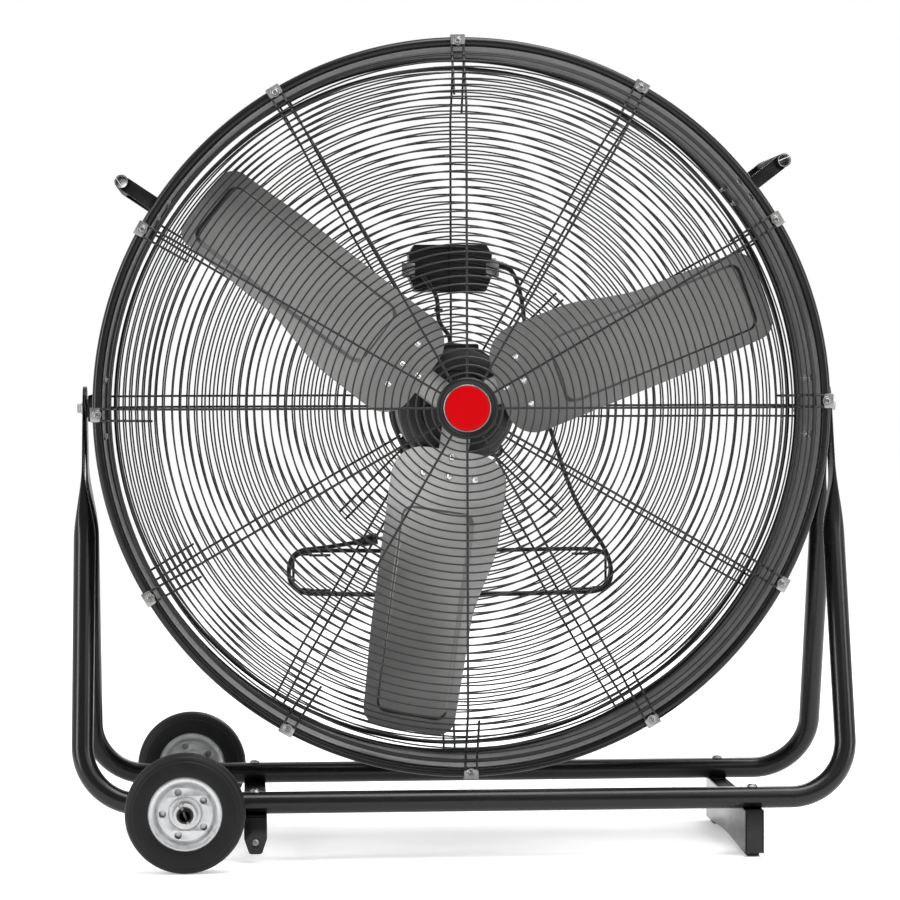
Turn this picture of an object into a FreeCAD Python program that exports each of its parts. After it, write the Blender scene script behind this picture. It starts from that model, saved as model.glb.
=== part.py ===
"""Tilting drum fan on a wheeled tube stand, as a parametric FreeCAD document.

Millimetres. +Z is up, the fan blows towards -Y and the origin is on the floor below the drum's centre.
The drum turns about the X axis on two pivot bolts, the rotor about the drum's axis, parallel to Y.
Each sub-part is one object with its own Label, which names its STEP file.
"""

import FreeCAD, Part
import Sketcher
import math
import os

V = FreeCAD.Vector
X_AXIS = V(1, 0, 0)
Y_AXIS = V(0, 1, 0)
Z_AXIS = V(0, 0, 1)
FACING = FreeCAD.Rotation(X_AXIS, 90)  # local x, y, z become X, Z and -Y (towards the front)

DIMENSIONS = {
    # drum
    "pivot_height": 614.0,
    "drum_half_depth": 107.0,
    "drum_radius": 502.0,
    "sheet_thickness": 1.5,
    "bead_radius": 7.0,
    # guards
    "ring_wire_radius": 1.2,
    "spoke_wire_radius": 1.7,
    "edge_wire_radius": 3.0,
    "edge_ring_radius": 486.0,
    "guard_level": 172.0,
    "guard_foot_level": 115.7,
    "guard_shoulder": 414.0,
    "guard_slope_end": 488.0,
    "guard_reach": 507.5,
    "ring_pitch": 10.95,
    "front_first_ring": 48.0,
    "rear_first_ring": 101.0,
    "hairpin_gap": 15.8,
    "hairpin_return": 426.0,
    "badge_plate_radius": 42.0,
    "badge_radius": 30.5,
    # guard clips
    "clip_width": 20.0,
    "clip_height": 15.0,
    "clip_thickness": 2.0,
    # motor
    "motor_radius": 84.0,
    "motor_front": 46.0,
    "motor_back": 167.3,
    "mount_plate_radius": 92.0,
    "mount_bolt_circle": 91.0,
    "shaft_radius": 8.0,
    "rotor_core_radius": 51.0,
    # blades
    "blade_tip_radius": 464.0,
    "blade_sheet": 2.0,
    "blade_root_angle": 32.0,
    "blade_tip_angle": 18.0,
    "blade_offset": 5.0,
    # stand
    "tube_radius": 15.0,
    "tube_wall": 2.0,
    "tube_bend": 80.0,
    "upright_offset": 523.0,
    "tube_height": 80.0,
    "stance_half": 165.0,
    "tab_thickness": 3.0,
    "tab_inner_face": 521.0,
    "tab_half_width": 23.0,
    "bolt_radius": 5.0,
    # wheels
    "wheel_radius": 80.0,
    "wheel_width": 36.0,
    "wheel_offset": 382.0,
    "wheel_station": 260.0,
    "axle_radius": 8.0,
    "running_fit": 0.05,
    # braces
    "brace_offset": 289.0,
    "brace_width": 31.0,
    "foot_offset": 390.0,
    "foot_width": 26.0,
    "brace_half_length": 187.0,
    "brace_sheet": 3.0,
    "sole_height": 6.0,
    # handles
    "handle_bearing": 54.5,
    "handle_skew": -1.9,
    "handle_reach": 562.0,
    "grip_radius": 9.5,
    "grip_half_length": 96.0,
    "strap_width": 19.0,
    "strap_station": 86.0,
    # switch box and cord
    "box_width": 122.0,
    "box_height": 69.0,
    "box_depth": 48.0,
    "box_rise": 167.0,
    "box_face": 178.4,
    "cord_radius": 3.2,
    "hook_offset": 207.0,
    "hook_drop": 243.75,
    "hook_half_height": 25.7,
    "hook_wire_radius": 2.0,
}

doc = FreeCAD.newDocument("tilting_drum_fan")
sheet = doc.addObject("Spreadsheet::Sheet", "Dims")
for row, (alias, number) in enumerate(DIMENSIONS.items(), start=1):
    sheet.set("A%d" % row, alias)
    sheet.set("B%d" % row, str(number))
    sheet.setAlias("B%d" % row, alias)
doc.recompute()


class Size:
    """A length with its value and the spreadsheet expression it comes from."""

    def __init__(self, value, text):
        self.value = float(value)
        self.text = text

    def __add__(self, other):
        other = size(other)
        return Size(self.value + other.value, "(%s + %s)" % (self.text, other.text))

    def __sub__(self, other):
        other = size(other)
        return Size(self.value - other.value, "(%s - %s)" % (self.text, other.text))

    def __mul__(self, factor):
        return Size(self.value * factor, "(%s * %g)" % (self.text, factor))

    def __truediv__(self, factor):
        return Size(self.value / factor, "(%s / %g)" % (self.text, factor))

    def __neg__(self):
        return Size(-self.value, "(-%s)" % self.text)

    def __float__(self):
        return self.value


def size(value):
    if isinstance(value, Size):
        return value
    return Size(value, "%.6g" % value)


def dim(alias):
    return Size(sheet.get(alias), "Dims." + alias)


def mm(alias):
    return float(sheet.get(alias))


NODES = []


def node(obj, label):
    obj.Label = label
    NODES.append(obj)
    return obj


def bind(obj, **properties):
    for name, value in properties.items():
        if isinstance(value, Size):
            obj.setExpression(name, value.text)
        else:
            setattr(obj, name, value)
    return obj


def point(x, y, z):
    return V(float(x), float(y), float(z))


def place(obj, origin, rotation=None):
    obj.Placement = FreeCAD.Placement(origin, rotation or FreeCAD.Rotation())
    return obj


def along(axis):
    return FreeCAD.Rotation(Z_AXIS, axis)


def about_drum(bearing):
    """Placement that turns a piece drawn at the drum's top clockwise, seen from the front."""
    centre = V(0, 0, mm("pivot_height"))
    return FreeCAD.Placement(centre, FreeCAD.Rotation(Y_AXIS, bearing))


# ---------------------------------------------------------------- primitives and booleans


def cylinder(name, radius, height, origin, axis=Z_AXIS):
    obj = bind(doc.addObject("Part::Cylinder", name), Radius=radius, Height=height)
    return place(obj, origin, along(axis))


def block(name, length, width, height, origin, rotation=None):
    obj = bind(doc.addObject("Part::Box", name), Length=length, Width=width, Height=height)
    return place(obj, origin, rotation)


def torus(name, major, minor, origin, axis=Y_AXIS):
    obj = bind(doc.addObject("Part::Torus", name), Radius1=major, Radius2=minor)
    return place(obj, origin, along(axis))


def wire_ring(name, radius, wire_radius, origin):
    """Ring of wire about the drum's axis, six-sided in section so that it stays light."""
    section = bind(doc.addObject("Part::RegularPolygon", name + "_section"), Polygon=6,
                   Circumradius=size(wire_radius))
    place(section, V(float(radius), 0, 0))
    bind(section, **{"Placement.Base.x": size(radius)})
    ring = doc.addObject("Part::Revolution", name)
    ring.Source = section
    ring.Base = V()
    ring.Axis = Y_AXIS
    ring.Angle = 360
    ring.Solid = True
    return place(ring, origin)


def cut(name, base, tool):
    return bind(doc.addObject("Part::Cut", name), Base=base, Tool=tool)


def fuse(name, shapes):
    return bind(doc.addObject("Part::MultiFuse", name), Shapes=shapes)


def common(name, shapes):
    return bind(doc.addObject("Part::MultiCommon", name), Shapes=shapes)


def group(name, links):
    """Several separate solids that make one sub-part."""
    return bind(doc.addObject("Part::Compound", name), Links=links)


def pipe(name, outer, inner, height, origin, axis=Z_AXIS):
    wall = cylinder(name + "_outer", outer, height, origin, axis)
    bore = cylinder(name + "_bore", inner, height, origin, axis)
    return cut(name, wall, bore)


def copies(name, master, placements):
    """Copies of one finished piece, set at each placement."""
    doc.recompute()
    obj = doc.addObject("Part::Feature", name)
    solids = []
    for placement in placements:
        solid = master.Shape.copy()
        solid.Placement = placement.multiply(master.Placement)
        solids.append(solid)
    obj.Shape = Part.makeCompound(solids)
    return obj


def solid_feature(name, shape):
    obj = doc.addObject("Part::Feature", name)
    obj.Shape = shape
    return obj


# ---------------------------------------------------------------- sketched bodies


def origin_plane(body, role):
    return [item for item in body.Origin.OriginFeatures if item.Role == role][0]


def new_sketch(body, name, role):
    sketch = body.newObject("Sketcher::SketchObject", name)
    sketch.AttachmentSupport = [(origin_plane(body, role), "")]
    sketch.MapMode = "FlatFace"
    return sketch


def pin_coordinate(sketch, kind, axis, geometry, spot, value):
    """Hold one coordinate of a point at the size that the spreadsheet gives."""
    value = size(value)
    if abs(value.value) < 1e-9:
        sketch.addConstraint(Sketcher.Constraint("PointOnObject", geometry, spot, axis))
        return
    ends = (-1, 1, geometry, spot) if value.value > 0 else (geometry, spot, -1, 1)
    index = sketch.addConstraint(Sketcher.Constraint(kind, *ends, abs(value.value)))
    text = value.text if value.value > 0 else "-(%s)" % value.text
    sketch.setExpression("Constraints[%d]" % index, text)


def draw_polygon(sketch, corners):
    flat = [V(float(x), float(y), 0) for x, y in corners]
    first = sketch.GeometryCount
    count = len(flat)
    for index in range(count):
        sketch.addGeometry(Part.LineSegment(flat[index], flat[(index + 1) % count]), False)
    for index in range(count):
        following = first + (index + 1) % count
        sketch.addConstraint(Sketcher.Constraint("Coincident", first + index, 2, following, 1))
    for index, (x, y) in enumerate(corners):
        pin_coordinate(sketch, "DistanceX", -2, first + index, 1, x)
        pin_coordinate(sketch, "DistanceY", -1, first + index, 1, y)


def draw_circle(sketch, x, y, radius):
    centre = V(float(x), float(y), 0)
    index = sketch.addGeometry(Part.Circle(centre, Z_AXIS, float(radius)), False)
    pin_coordinate(sketch, "DistanceX", -2, index, 3, x)
    pin_coordinate(sketch, "DistanceY", -1, index, 3, y)
    radius = size(radius)
    number = sketch.addConstraint(Sketcher.Constraint("Radius", index, radius.value))
    sketch.setExpression("Constraints[%d]" % number, radius.text)


def revolved(name, corners, origin=V(), axis=Z_AXIS):
    """Body of revolution: corners are (radius, height) pairs about the local Z axis."""
    body = doc.addObject("PartDesign::Body", name)
    sketch = new_sketch(body, name + "_profile", "XZ_Plane")
    draw_polygon(sketch, corners)
    turn = body.newObject("PartDesign::Revolution", name + "_turn")
    turn.Profile = sketch
    turn.ReferenceAxis = (sketch, ["V_Axis"])
    turn.Angle = 360
    body.Tip = turn
    return place(body, origin, along(axis))


def padded(name, corners, thickness, origin=V(), rotation=None, circles=()):
    """Plate: a polygon, with round holes, padded along the local Z axis."""
    body = doc.addObject("PartDesign::Body", name)
    sketch = new_sketch(body, name + "_outline", "XY_Plane")
    draw_polygon(sketch, corners)
    for x, y, radius in circles:
        draw_circle(sketch, x, y, radius)
    pad = body.newObject("PartDesign::Pad", name + "_pad")
    pad.Profile = sketch
    bind(pad, Length=size(thickness))
    body.Tip = pad
    return place(body, origin, rotation)


def ring_of_holes(body, name, radius, circle, count, start, depth):
    """Round holes through a plate, evenly spaced about its local Z axis."""
    sketch = new_sketch(body, name + "_hole", "XY_Plane")
    angle = math.radians(start)
    draw_circle(sketch, circle * math.cos(angle), circle * math.sin(angle), radius)
    pocket = body.newObject("PartDesign::Pocket", name + "_pocket")
    pocket.Profile = sketch
    pocket.Reversed = True
    bind(pocket, Length=size(depth))
    doc.recompute()
    pattern = body.newObject("PartDesign::PolarPattern", name + "_pattern")
    pattern.Originals = [pocket]
    pattern.Axis = (sketch, ["N_Axis"])
    pattern.Angle = 360
    pattern.Occurrences = count
    body.Tip = pattern


# ---------------------------------------------------------------- wires and tubes


def bend_radius(before, corner, after):
    """Largest arc that both runs beside a corner leave room for."""
    leg_in = corner - before
    leg_out = after - corner
    turn = leg_in.getAngle(leg_out)
    return 0.45 * min(leg_in.Length, leg_out.Length) / math.tan(turn / 2)


def route_wire(points, radius=None, report=None):
    """Straight runs joined by tangent arcs: a given bend radius, or the largest that fits."""
    edges = []
    start = points[0]
    radii = []
    for before, corner, after in zip(points, points[1:], points[2:]):
        bend = radius or bend_radius(before, corner, after)
        radii.append(bend)
        leg_in = (corner - before).normalize()
        leg_out = (after - corner).normalize()
        half = leg_in.getAngle(leg_out) / 2
        setback = bend * math.tan(half)
        enter = corner - leg_in * setback
        leave = corner + leg_out * setback
        inward = (leg_out - leg_in).normalize()
        middle = corner + inward * (bend / math.cos(half) - bend)
        edges.append(Part.LineSegment(start, enter).toShape())
        edges.append(Part.Arc(enter, middle, leave).toShape())
        start = leave
    edges.append(Part.LineSegment(start, points[-1]).toShape())
    if report:
        print(report, "bend radii:", " ".join("%.0f" % bend for bend in radii))
    return Part.Wire(edges)


def swept(name, wire, radius):
    """Round wire or tube: a circle swept along a route."""
    spine = solid_feature(name + "_route", wire)
    first = wire.Edges[0]
    heading = first.tangentAt(first.FirstParameter)
    circle = bind(doc.addObject("Part::Circle", name + "_section"), Radius=size(radius))
    place(circle, first.valueAt(first.FirstParameter), along(heading))
    sweep = doc.addObject("Part::Sweep", name)
    sweep.Sections = [circle]
    sweep.Spine = (spine, ["Edge%d" % (i + 1) for i in range(len(wire.Edges))])
    sweep.Solid = True
    sweep.Frenet = False
    doc.recompute()
    section = math.pi * float(radius) ** 2
    ratio = sweep.Shape.Volume / (section * wire.Length)
    print("%s: length %.0f mm, volume / (section x length) = %.4f" % (name, wire.Length, ratio))
    return sweep


def screw_master(name, head_radius, head_height, shank_radius, shank_length):
    """Round-head screw along -Z, with the underside of its head at the origin."""
    rim = head_height * 0.45
    corners = [
        (0, -shank_length),
        (shank_radius, -shank_length),
        (shank_radius, 0),
        (head_radius, 0),
        (head_radius, rim),
        (head_radius * 0.72, head_height * 0.88),
        (head_radius * 0.35, head_height),
        (0, head_height),
    ]
    return revolved(name, corners)


def spot(origin, axis):
    return FreeCAD.Placement(origin, along(axis))


# ---------------------------------------------------------------- drum


def drum_point(bearing, radius, station):
    """Point at a bearing clockwise from the top, a radius from the drum's axis and a Y station."""
    angle = math.radians(bearing)
    return V(radius * math.sin(angle), station, mm("pivot_height") + radius * math.cos(angle))


def outward(bearing):
    angle = math.radians(bearing)
    return V(math.sin(angle), 0, math.cos(angle))


BRACKET_SCREW_RISE = 40.0
BRACKET_SCREW_STATION = 18.0
WALL_SCREW_SHANK = 3.0
STRAP_SCREW_SPREAD = 1.5  # degrees either side of the strap
HEAD_CLEARANCE = 0.05  # a flat head stands this far off the curved wall


def wall_screw_sites():
    """Bearing and station of each screw through the drum's wall, pivot brackets first."""
    rise = math.degrees(math.asin(BRACKET_SCREW_RISE / mm("drum_radius")))
    brackets = [
        (side * 90 + tilt * rise, station)
        for side in (-1, 1)
        for tilt in (-1, 1)
        for station in (-BRACKET_SCREW_STATION, BRACKET_SCREW_STATION)
    ]
    straps = [
        (handle_bearing(side) + spread * STRAP_SCREW_SPREAD, end * strap_screw_station())
        for side in (-1, 1)
        for spread in (-1, 1)
        for end in (-1, 1)
    ]
    return brackets, straps


def strap_screw_station():
    return mm("strap_station") - 12.0


def rolled_bead(name, station):
    """Rolled edge: a hollow tube of sheet with a slit, so that it isn't sealed."""
    centre = point(0, station, mm("pivot_height"))
    inner = dim("bead_radius") - dim("sheet_thickness")
    outside = torus(name + "_outside", dim("drum_radius"), dim("bead_radius"), centre)
    inside = torus(name + "_inside", dim("drum_radius"), inner, centre)
    curl = cut(name + "_curl", outside, inside)
    lip = 1.0
    side = 1 if station > 0 else -1
    slit_start = point(0, station - side * mm("bead_radius") / 2 - lip / 2, mm("pivot_height"))
    reach = dim("drum_radius") + dim("bead_radius") * 2
    slit = pipe(name + "_slit", reach, dim("drum_radius") + 2.0, lip, slit_start, Y_AXIS)
    return cut(name, curl, slit)


def drum_shell():
    start = point(0, -mm("drum_half_depth") + mm("bead_radius") - 1, mm("pivot_height"))
    length = (dim("drum_half_depth") - dim("bead_radius") + 1) * 2
    wall = pipe("drum_wall", dim("drum_radius"), dim("drum_radius") - dim("sheet_thickness"),
                length, start, Y_AXIS)
    beads = [rolled_bead("bead_%s" % side, sign * mm("drum_half_depth"))
             for side, sign in (("front", -1), ("rear", 1))]
    shell = fuse("drum_blank", [wall] + beads)
    holes = []
    brackets, straps = wall_screw_sites()
    for number, (bearing, station) in enumerate(brackets + straps):
        origin = drum_point(bearing, mm("drum_radius") - 10, station)
        holes.append(cylinder("wall_hole_%d" % number, WALL_SCREW_SHANK, 20, origin, outward(bearing)))
    return node(cut("drum_shell_cut", shell, fuse("wall_holes", holes)), "drum_shell")


BRACKET_FACE = 518.6


def pivot_brackets():
    """Hat-shaped brackets with closed ends on the drum's sides; the pivot bolts turn in their webs."""
    crown = BRACKET_FACE
    sheet_metal = 3.0
    half_web = 18.0
    half_height = 56.0
    half_width = 30.0
    end_sheet = 2.0
    foot = mm("drum_radius") - 8
    hats = []
    for side, sign in (("left", -1), ("right", 1)):
        corners = [
            (foot, -half_height), (foot + 11, -half_height), (foot + 11, -half_web - 3),
            (crown, -half_web), (crown, half_web), (foot + 11, half_web + 3),
            (foot + 11, half_height), (foot, half_height), (foot, half_web),
            (crown - sheet_metal, half_web - 3), (crown - sheet_metal, 3 - half_web), (foot, -half_web),
        ]
        outline = [(sign * x, y) for x, y in corners]
        hat = padded("bracket_%s_plate" % side, outline, half_width * 2,
                     point(0, half_width, mm("pivot_height")), FACING)
        hats.append(hat)
        end_plate = [(sign * x, y) for x, y in ((foot, -half_web - 2), (crown - 1, -half_web),
                                                (crown - 1, half_web), (foot, half_web + 2))]
        for end, station in (("front", end_sheet - half_width), ("rear", half_width)):
            hats.append(padded("bracket_%s_%s_end" % (side, end), end_plate, end_sheet,
                               point(0, station, mm("pivot_height")), FACING))
    blank = fuse("bracket_pair", hats)
    drum_round = cylinder("bracket_seat", dim("drum_radius"), half_width * 4,
                          point(0, -2 * half_width, mm("pivot_height")), Y_AXIS)
    bore = cylinder("bracket_bore", dim("bolt_radius") + dim("running_fit"), 1100,
                    point(-550, 0, mm("pivot_height")), X_AXIS)
    tools = [drum_round, bore]
    for number, (bearing, station) in enumerate(wall_screw_sites()[0]):
        origin = drum_point(bearing, mm("drum_radius") - 10, station)
        tools.append(cylinder("bracket_hole_%d" % number, WALL_SCREW_SHANK, 30, origin, outward(bearing)))
    node(cut("bracket_cut", blank, fuse("bracket_tools", tools)), "pivot_brackets")


def wall_screws():
    master = screw_master("wall_screw", 6.0, 3.2, WALL_SCREW_SHANK, 9.0)
    inner = mm("drum_radius") - mm("sheet_thickness") - HEAD_CLEARANCE
    brackets, straps = wall_screw_sites()
    for label, sites in (("bracket_screws", brackets), ("strap_screws", straps)):
        spots = [spot(drum_point(bearing, inner, station), outward(bearing) * -1)
                 for bearing, station in sites]
        node(copies(label + "_set", master, spots), label)


# ---------------------------------------------------------------- handles


def handle_bearing(side):
    """Bearing of a grip: the pair is set slightly anticlockwise of symmetry."""
    return side * mm("handle_bearing") + mm("handle_skew")


def handle_straps():
    """Flat straps, one at each end of a grip, with a foot screwed to the drum."""
    sheet_metal = 3.0
    half = mm("strap_width") / 2
    foot_half = 20.0
    reach = mm("handle_reach")
    seat = mm("drum_radius") - 3
    arm_end = reach - 4
    plate = padded("strap_plate", [(-half, seat), (half, seat), (half, arm_end), (-half, arm_end)],
                   sheet_metal, V(0, sheet_metal / 2, 0), FACING)
    foot_depth = 22.0
    foot = block("strap_foot", foot_half * 2, foot_depth, 6 + sheet_metal,
                 point(-foot_half, 0, mm("drum_radius") - 6))
    grip_hole = cylinder("strap_grip_hole", dim("grip_radius"), 20, point(0, -10, reach), Y_AXIS)
    seat_round = cylinder("strap_seat", dim("drum_radius"), 80, point(0, -40, 0), Y_AXIS)
    holes = []
    for number, spread in enumerate((-STRAP_SCREW_SPREAD, STRAP_SCREW_SPREAD)):
        axis = outward(spread)
        origin = axis * (mm("drum_radius") - 12) + V(0, 12, 0)
        holes.append(cylinder("strap_hole_%d" % number, WALL_SCREW_SHANK, 30, origin, axis))
    solid = fuse("strap_blank", [plate, foot])
    master = cut("strap_master", solid, fuse("strap_tools", [grip_hole, seat_round] + holes))
    places = []
    for side in (-1, 1):
        for end_sign, turn in ((-1, 0), (1, 180)):
            flip = FreeCAD.Placement(V(0, end_sign * mm("strap_station"), 0), FreeCAD.Rotation(Z_AXIS, turn))
            places.append(about_drum(handle_bearing(side)).multiply(flip))
    node(copies("strap_set", master, places), "handle_straps")


def handle_grips():
    """Rolled steel tubes with an open seam that faces away from the drum."""
    length = dim("grip_half_length") * 2
    start = point(0, -mm("grip_half_length"), mm("handle_reach"))
    wall = pipe("grip_tube", dim("grip_radius"), dim("grip_radius") - 1.5, length, start, Y_AXIS)
    seam = block("grip_seam", 1.2, length, 6, point(-0.6, -mm("grip_half_length"), mm("handle_reach") + 6))
    master = cut("grip_master", wall, seam)
    for side, sign in (("left", -1), ("right", 1)):
        turn = about_drum(handle_bearing(sign))
        node(copies("grip_%s" % side, master, [turn]), "handle_grip_%s" % side)


# ---------------------------------------------------------------- wire guards

GUARD_SLOPE = math.atan2(mm("guard_level") - mm("guard_foot_level"),
                         mm("guard_slope_end") - mm("guard_shoulder"))
WIRE_STACK = mm("ring_wire_radius") + mm("spoke_wire_radius") + 0.02


def ring_stations(first_ring):
    """Radius and distance from the drum's middle of each ring, along the spokes' outer side."""
    rings = []
    radius = mm(first_ring)
    shoulder = mm("guard_shoulder") - 2
    while radius < shoulder:
        rings.append((radius, mm("guard_level") + WIRE_STACK))
        radius += mm("ring_pitch")
    down = mm("ring_pitch") - (radius - shoulder)
    slope_length = math.hypot(mm("guard_slope_end") - mm("guard_shoulder"),
                              mm("guard_level") - mm("guard_foot_level"))
    travel = max(4.0, mm("ring_pitch") - down)
    while travel < slope_length - 4:
        outward_run = travel * math.cos(GUARD_SLOPE) + WIRE_STACK * math.sin(GUARD_SLOPE)
        ring_radius = mm("guard_shoulder") + outward_run
        level = mm("guard_level") - travel * math.sin(GUARD_SLOPE) + WIRE_STACK * math.cos(GUARD_SLOPE)
        rings.append((ring_radius, level))
        travel += mm("ring_pitch")
    return rings


def guard_rings(side, sign, first_ring):
    centre_height = mm("pivot_height")
    rings = []
    for number, (radius, level) in enumerate(ring_stations(first_ring)):
        name = "%s_ring_%d" % (side, number)
        if level > mm("guard_level"):
            radius = dim(first_ring) + dim("ring_pitch") * number
        rings.append(wire_ring(name, radius, dim("ring_wire_radius"), point(0, sign * level, centre_height)))
    edge_level = mm("guard_foot_level") - mm("spoke_wire_radius") - mm("edge_wire_radius") - 0.02
    rings.append(wire_ring("%s_edge_ring" % side, dim("edge_ring_radius"), dim("edge_wire_radius"),
                           point(0, sign * edge_level, centre_height)))
    node(group("%s_rings" % side, rings), "%s_guard_rings" % side)


def guard_spokes(side, sign, inner_radius, second_inner=None):
    """Twelve hairpins: a long leg, a turn under the clip, and a second leg, long on every other one."""
    gap = mm("hairpin_gap") * sign
    level = mm("guard_level") * sign
    foot = mm("guard_foot_level") * sign
    shoulder = mm("guard_shoulder")
    slope_end = mm("guard_slope_end")
    reach = mm("guard_reach")
    long_leg = route_wire([V(0, level, inner_radius), V(0, level, shoulder), V(0, foot, slope_end),
                           V(0, foot, reach - abs(gap) / 2)], 18.0)
    turn = Part.Arc(V(0, foot, reach - abs(gap) / 2), V(gap / 2, foot, reach),
                    V(gap, foot, reach - abs(gap) / 2)).toShape()
    slope_share = (mm("hairpin_return") - shoulder) / (slope_end - shoulder)
    return_level = level + (foot - level) * slope_share
    short_leg = route_wire([V(gap, foot, reach - abs(gap) / 2), V(gap, foot, slope_end),
                            V(gap, return_level, mm("hairpin_return"))], 18.0)
    wire = Part.Wire(long_leg.Edges + [turn] + short_leg.Edges)
    master = swept("%s_hairpin" % side, wire, dim("spoke_wire_radius"))
    step = 2 if second_inner else 1
    spokes = copies("%s_spokes" % side, master, [about_drum(30 * number) for number in range(0, 12, step)])
    if second_inner:
        twin_leg = route_wire([V(gap, foot, reach - abs(gap) / 2), V(gap, foot, slope_end),
                               V(gap, level, shoulder), V(gap, level, second_inner)], 18.0)
        twin = swept("%s_twin" % side, Part.Wire(long_leg.Edges + [turn] + twin_leg.Edges),
                     dim("spoke_wire_radius"))
        places = [about_drum(30 * number) for number in range(1, 12, step)]
        spokes = group("%s_all_spokes" % side, [spokes, copies("%s_twins" % side, twin, places)])
    node(spokes, "%s_guard_spokes" % side)


def clip_bearing(number, sign):
    """Bearing of a clip: it sits over the turn of its hairpin, beside the long leg."""
    offset = math.degrees(mm("hairpin_gap") / 2 / mm("guard_reach"))
    return 30 * number + sign * offset


def guard_clips():
    """Bent zinc clips that pinch each hairpin to the drum's rolled edge, with their screws."""
    half_width = mm("clip_width") / 2
    top = mm("drum_radius") + mm("bead_radius")
    face = mm("guard_foot_level") + mm("spoke_wire_radius")
    low = top - mm("clip_height") + 4
    screw_height = (low + top) / 2 - 1
    screw_shank = 2.4
    plate = padded("clip_plate", [(-half_width, low), (half_width, low), (half_width, top + 2.6),
                                  (-half_width, top + 2.6)],
                   mm("clip_thickness"), V(0, -face, 0), FACING, circles=[(0, screw_height, screw_shank)])
    hood = block("clip_hood", dim("clip_width"), 16, 2.0, point(-half_width, -face, top + 0.6))
    master = fuse("clip_master", [plate, hood])
    screw = screw_master("clip_screw", 4.6, 3.0, screw_shank, 3.4)
    clip_places = []
    screw_places = []
    for sign, turn in ((-1, 0), (1, 180)):
        flip = FreeCAD.Placement(V(), FreeCAD.Rotation(Z_AXIS, turn))
        for number in range(12):
            seat = about_drum(clip_bearing(number, sign)).multiply(flip)
            clip_places.append(seat)
            head = FreeCAD.Placement(V(0, -face - mm("clip_thickness"), screw_height), along(Y_AXIS * -1))
            screw_places.append(seat.multiply(head))
    node(copies("clip_set", master, clip_places), "guard_clips")
    node(copies("clip_screw_set", screw, screw_places), "guard_clip_screws")


def guard_badge():
    """Dished centre plate on the front guard, with a plain raised disc."""
    seat = -(mm("guard_level") + mm("spoke_wire_radius"))
    centre = point(0, seat, mm("pivot_height"))
    rim = dim("badge_plate_radius")
    plate = revolved("badge_plate_turn", [(0, 0), (rim, 0), (rim, 2.2), (rim - 2, 4.6), (rim - 5, 4.6),
                                          (rim - 7, 3.0), (0, 3.0)], centre, Y_AXIS * -1)
    node(plate, "badge_plate")
    disc = dim("badge_radius")
    badge = revolved("badge_turn", [(0, 0), (disc, 0), (disc, 1.4), (disc - 1.2, 2.2), (0, 2.4)],
                     centre + V(0, -3.0, 0), Y_AXIS * -1)
    node(badge, "badge")


def guard_struts():
    """Four hairpins that stiffen the rear guard round the motor, each looped round a mount bolt."""
    half_gap = 6.85
    reach = 226.0
    bolt = mm("mount_bolt_circle")
    level = mm("guard_level")
    legs = [
        Part.LineSegment(V(-half_gap, level, reach), V(-half_gap, level, bolt)).toShape(),
        Part.Arc(V(-half_gap, level, bolt), V(0, level, bolt - half_gap), V(half_gap, level, bolt)).toShape(),
        Part.LineSegment(V(half_gap, level, bolt), V(half_gap, level, reach)).toShape(),
    ]
    master = swept("strut_hairpin", Part.Wire(legs), dim("spoke_wire_radius"))
    places = [about_drum(45 + 90 * number) for number in range(4)]
    node(copies("strut_set", master, places), "rear_guard_struts")


# ---------------------------------------------------------------- motor

MOUNT_PLATE_SHEET = 3.0
MOUNT_BOLT_RADIUS = 4.0
PLATE_SCREW_OFFSETS = (-8.0, 3.0, 15.0)
PLATE_SCREW_RISE = 86.5
SMALL_SHANK = 2.0
SMALL_HOLE = 2.05
STATOR_BORE = 51.6
STATOR_START = 78.0
STATOR_LENGTH = 56.0


def motor_axis_point(station):
    return point(0, station, mm("pivot_height"))


def motor_mount_plate():
    start = mm("motor_back")
    disc = cylinder("mount_disc", dim("mount_plate_radius"), MOUNT_PLATE_SHEET,
                    motor_axis_point(start), Y_AXIS)
    bore = cylinder("mount_bore", 22, MOUNT_PLATE_SHEET, motor_axis_point(start), Y_AXIS)
    lugs = []
    holes = [bore]
    for number in range(4):
        bearing = 45 + 90 * number
        centre = drum_point(bearing, mm("mount_bolt_circle"), start)
        lugs.append(cylinder("mount_lug_%d" % number, 12, MOUNT_PLATE_SHEET, centre, Y_AXIS))
        holes.append(cylinder("mount_hole_%d" % number, MOUNT_BOLT_RADIUS, 10, centre - V(0, 2, 0), Y_AXIS))
        spare = drum_point(bearing + 15, mm("mount_plate_radius") - 6, start - 2)
        holes.append(cylinder("mount_slot_%d" % number, 2.6, 10, spare, Y_AXIS))
    for number, x in enumerate(PLATE_SCREW_OFFSETS):
        origin = point(x, start - 2, mm("pivot_height") + PLATE_SCREW_RISE)
        holes.append(cylinder("mount_screw_hole_%d" % number, SMALL_HOLE, 10, origin, Y_AXIS))
    plate = fuse("mount_blank", [disc] + lugs)
    node(cut("mount_cut", plate, fuse("mount_holes", holes)), "motor_mount_plate")


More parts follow.
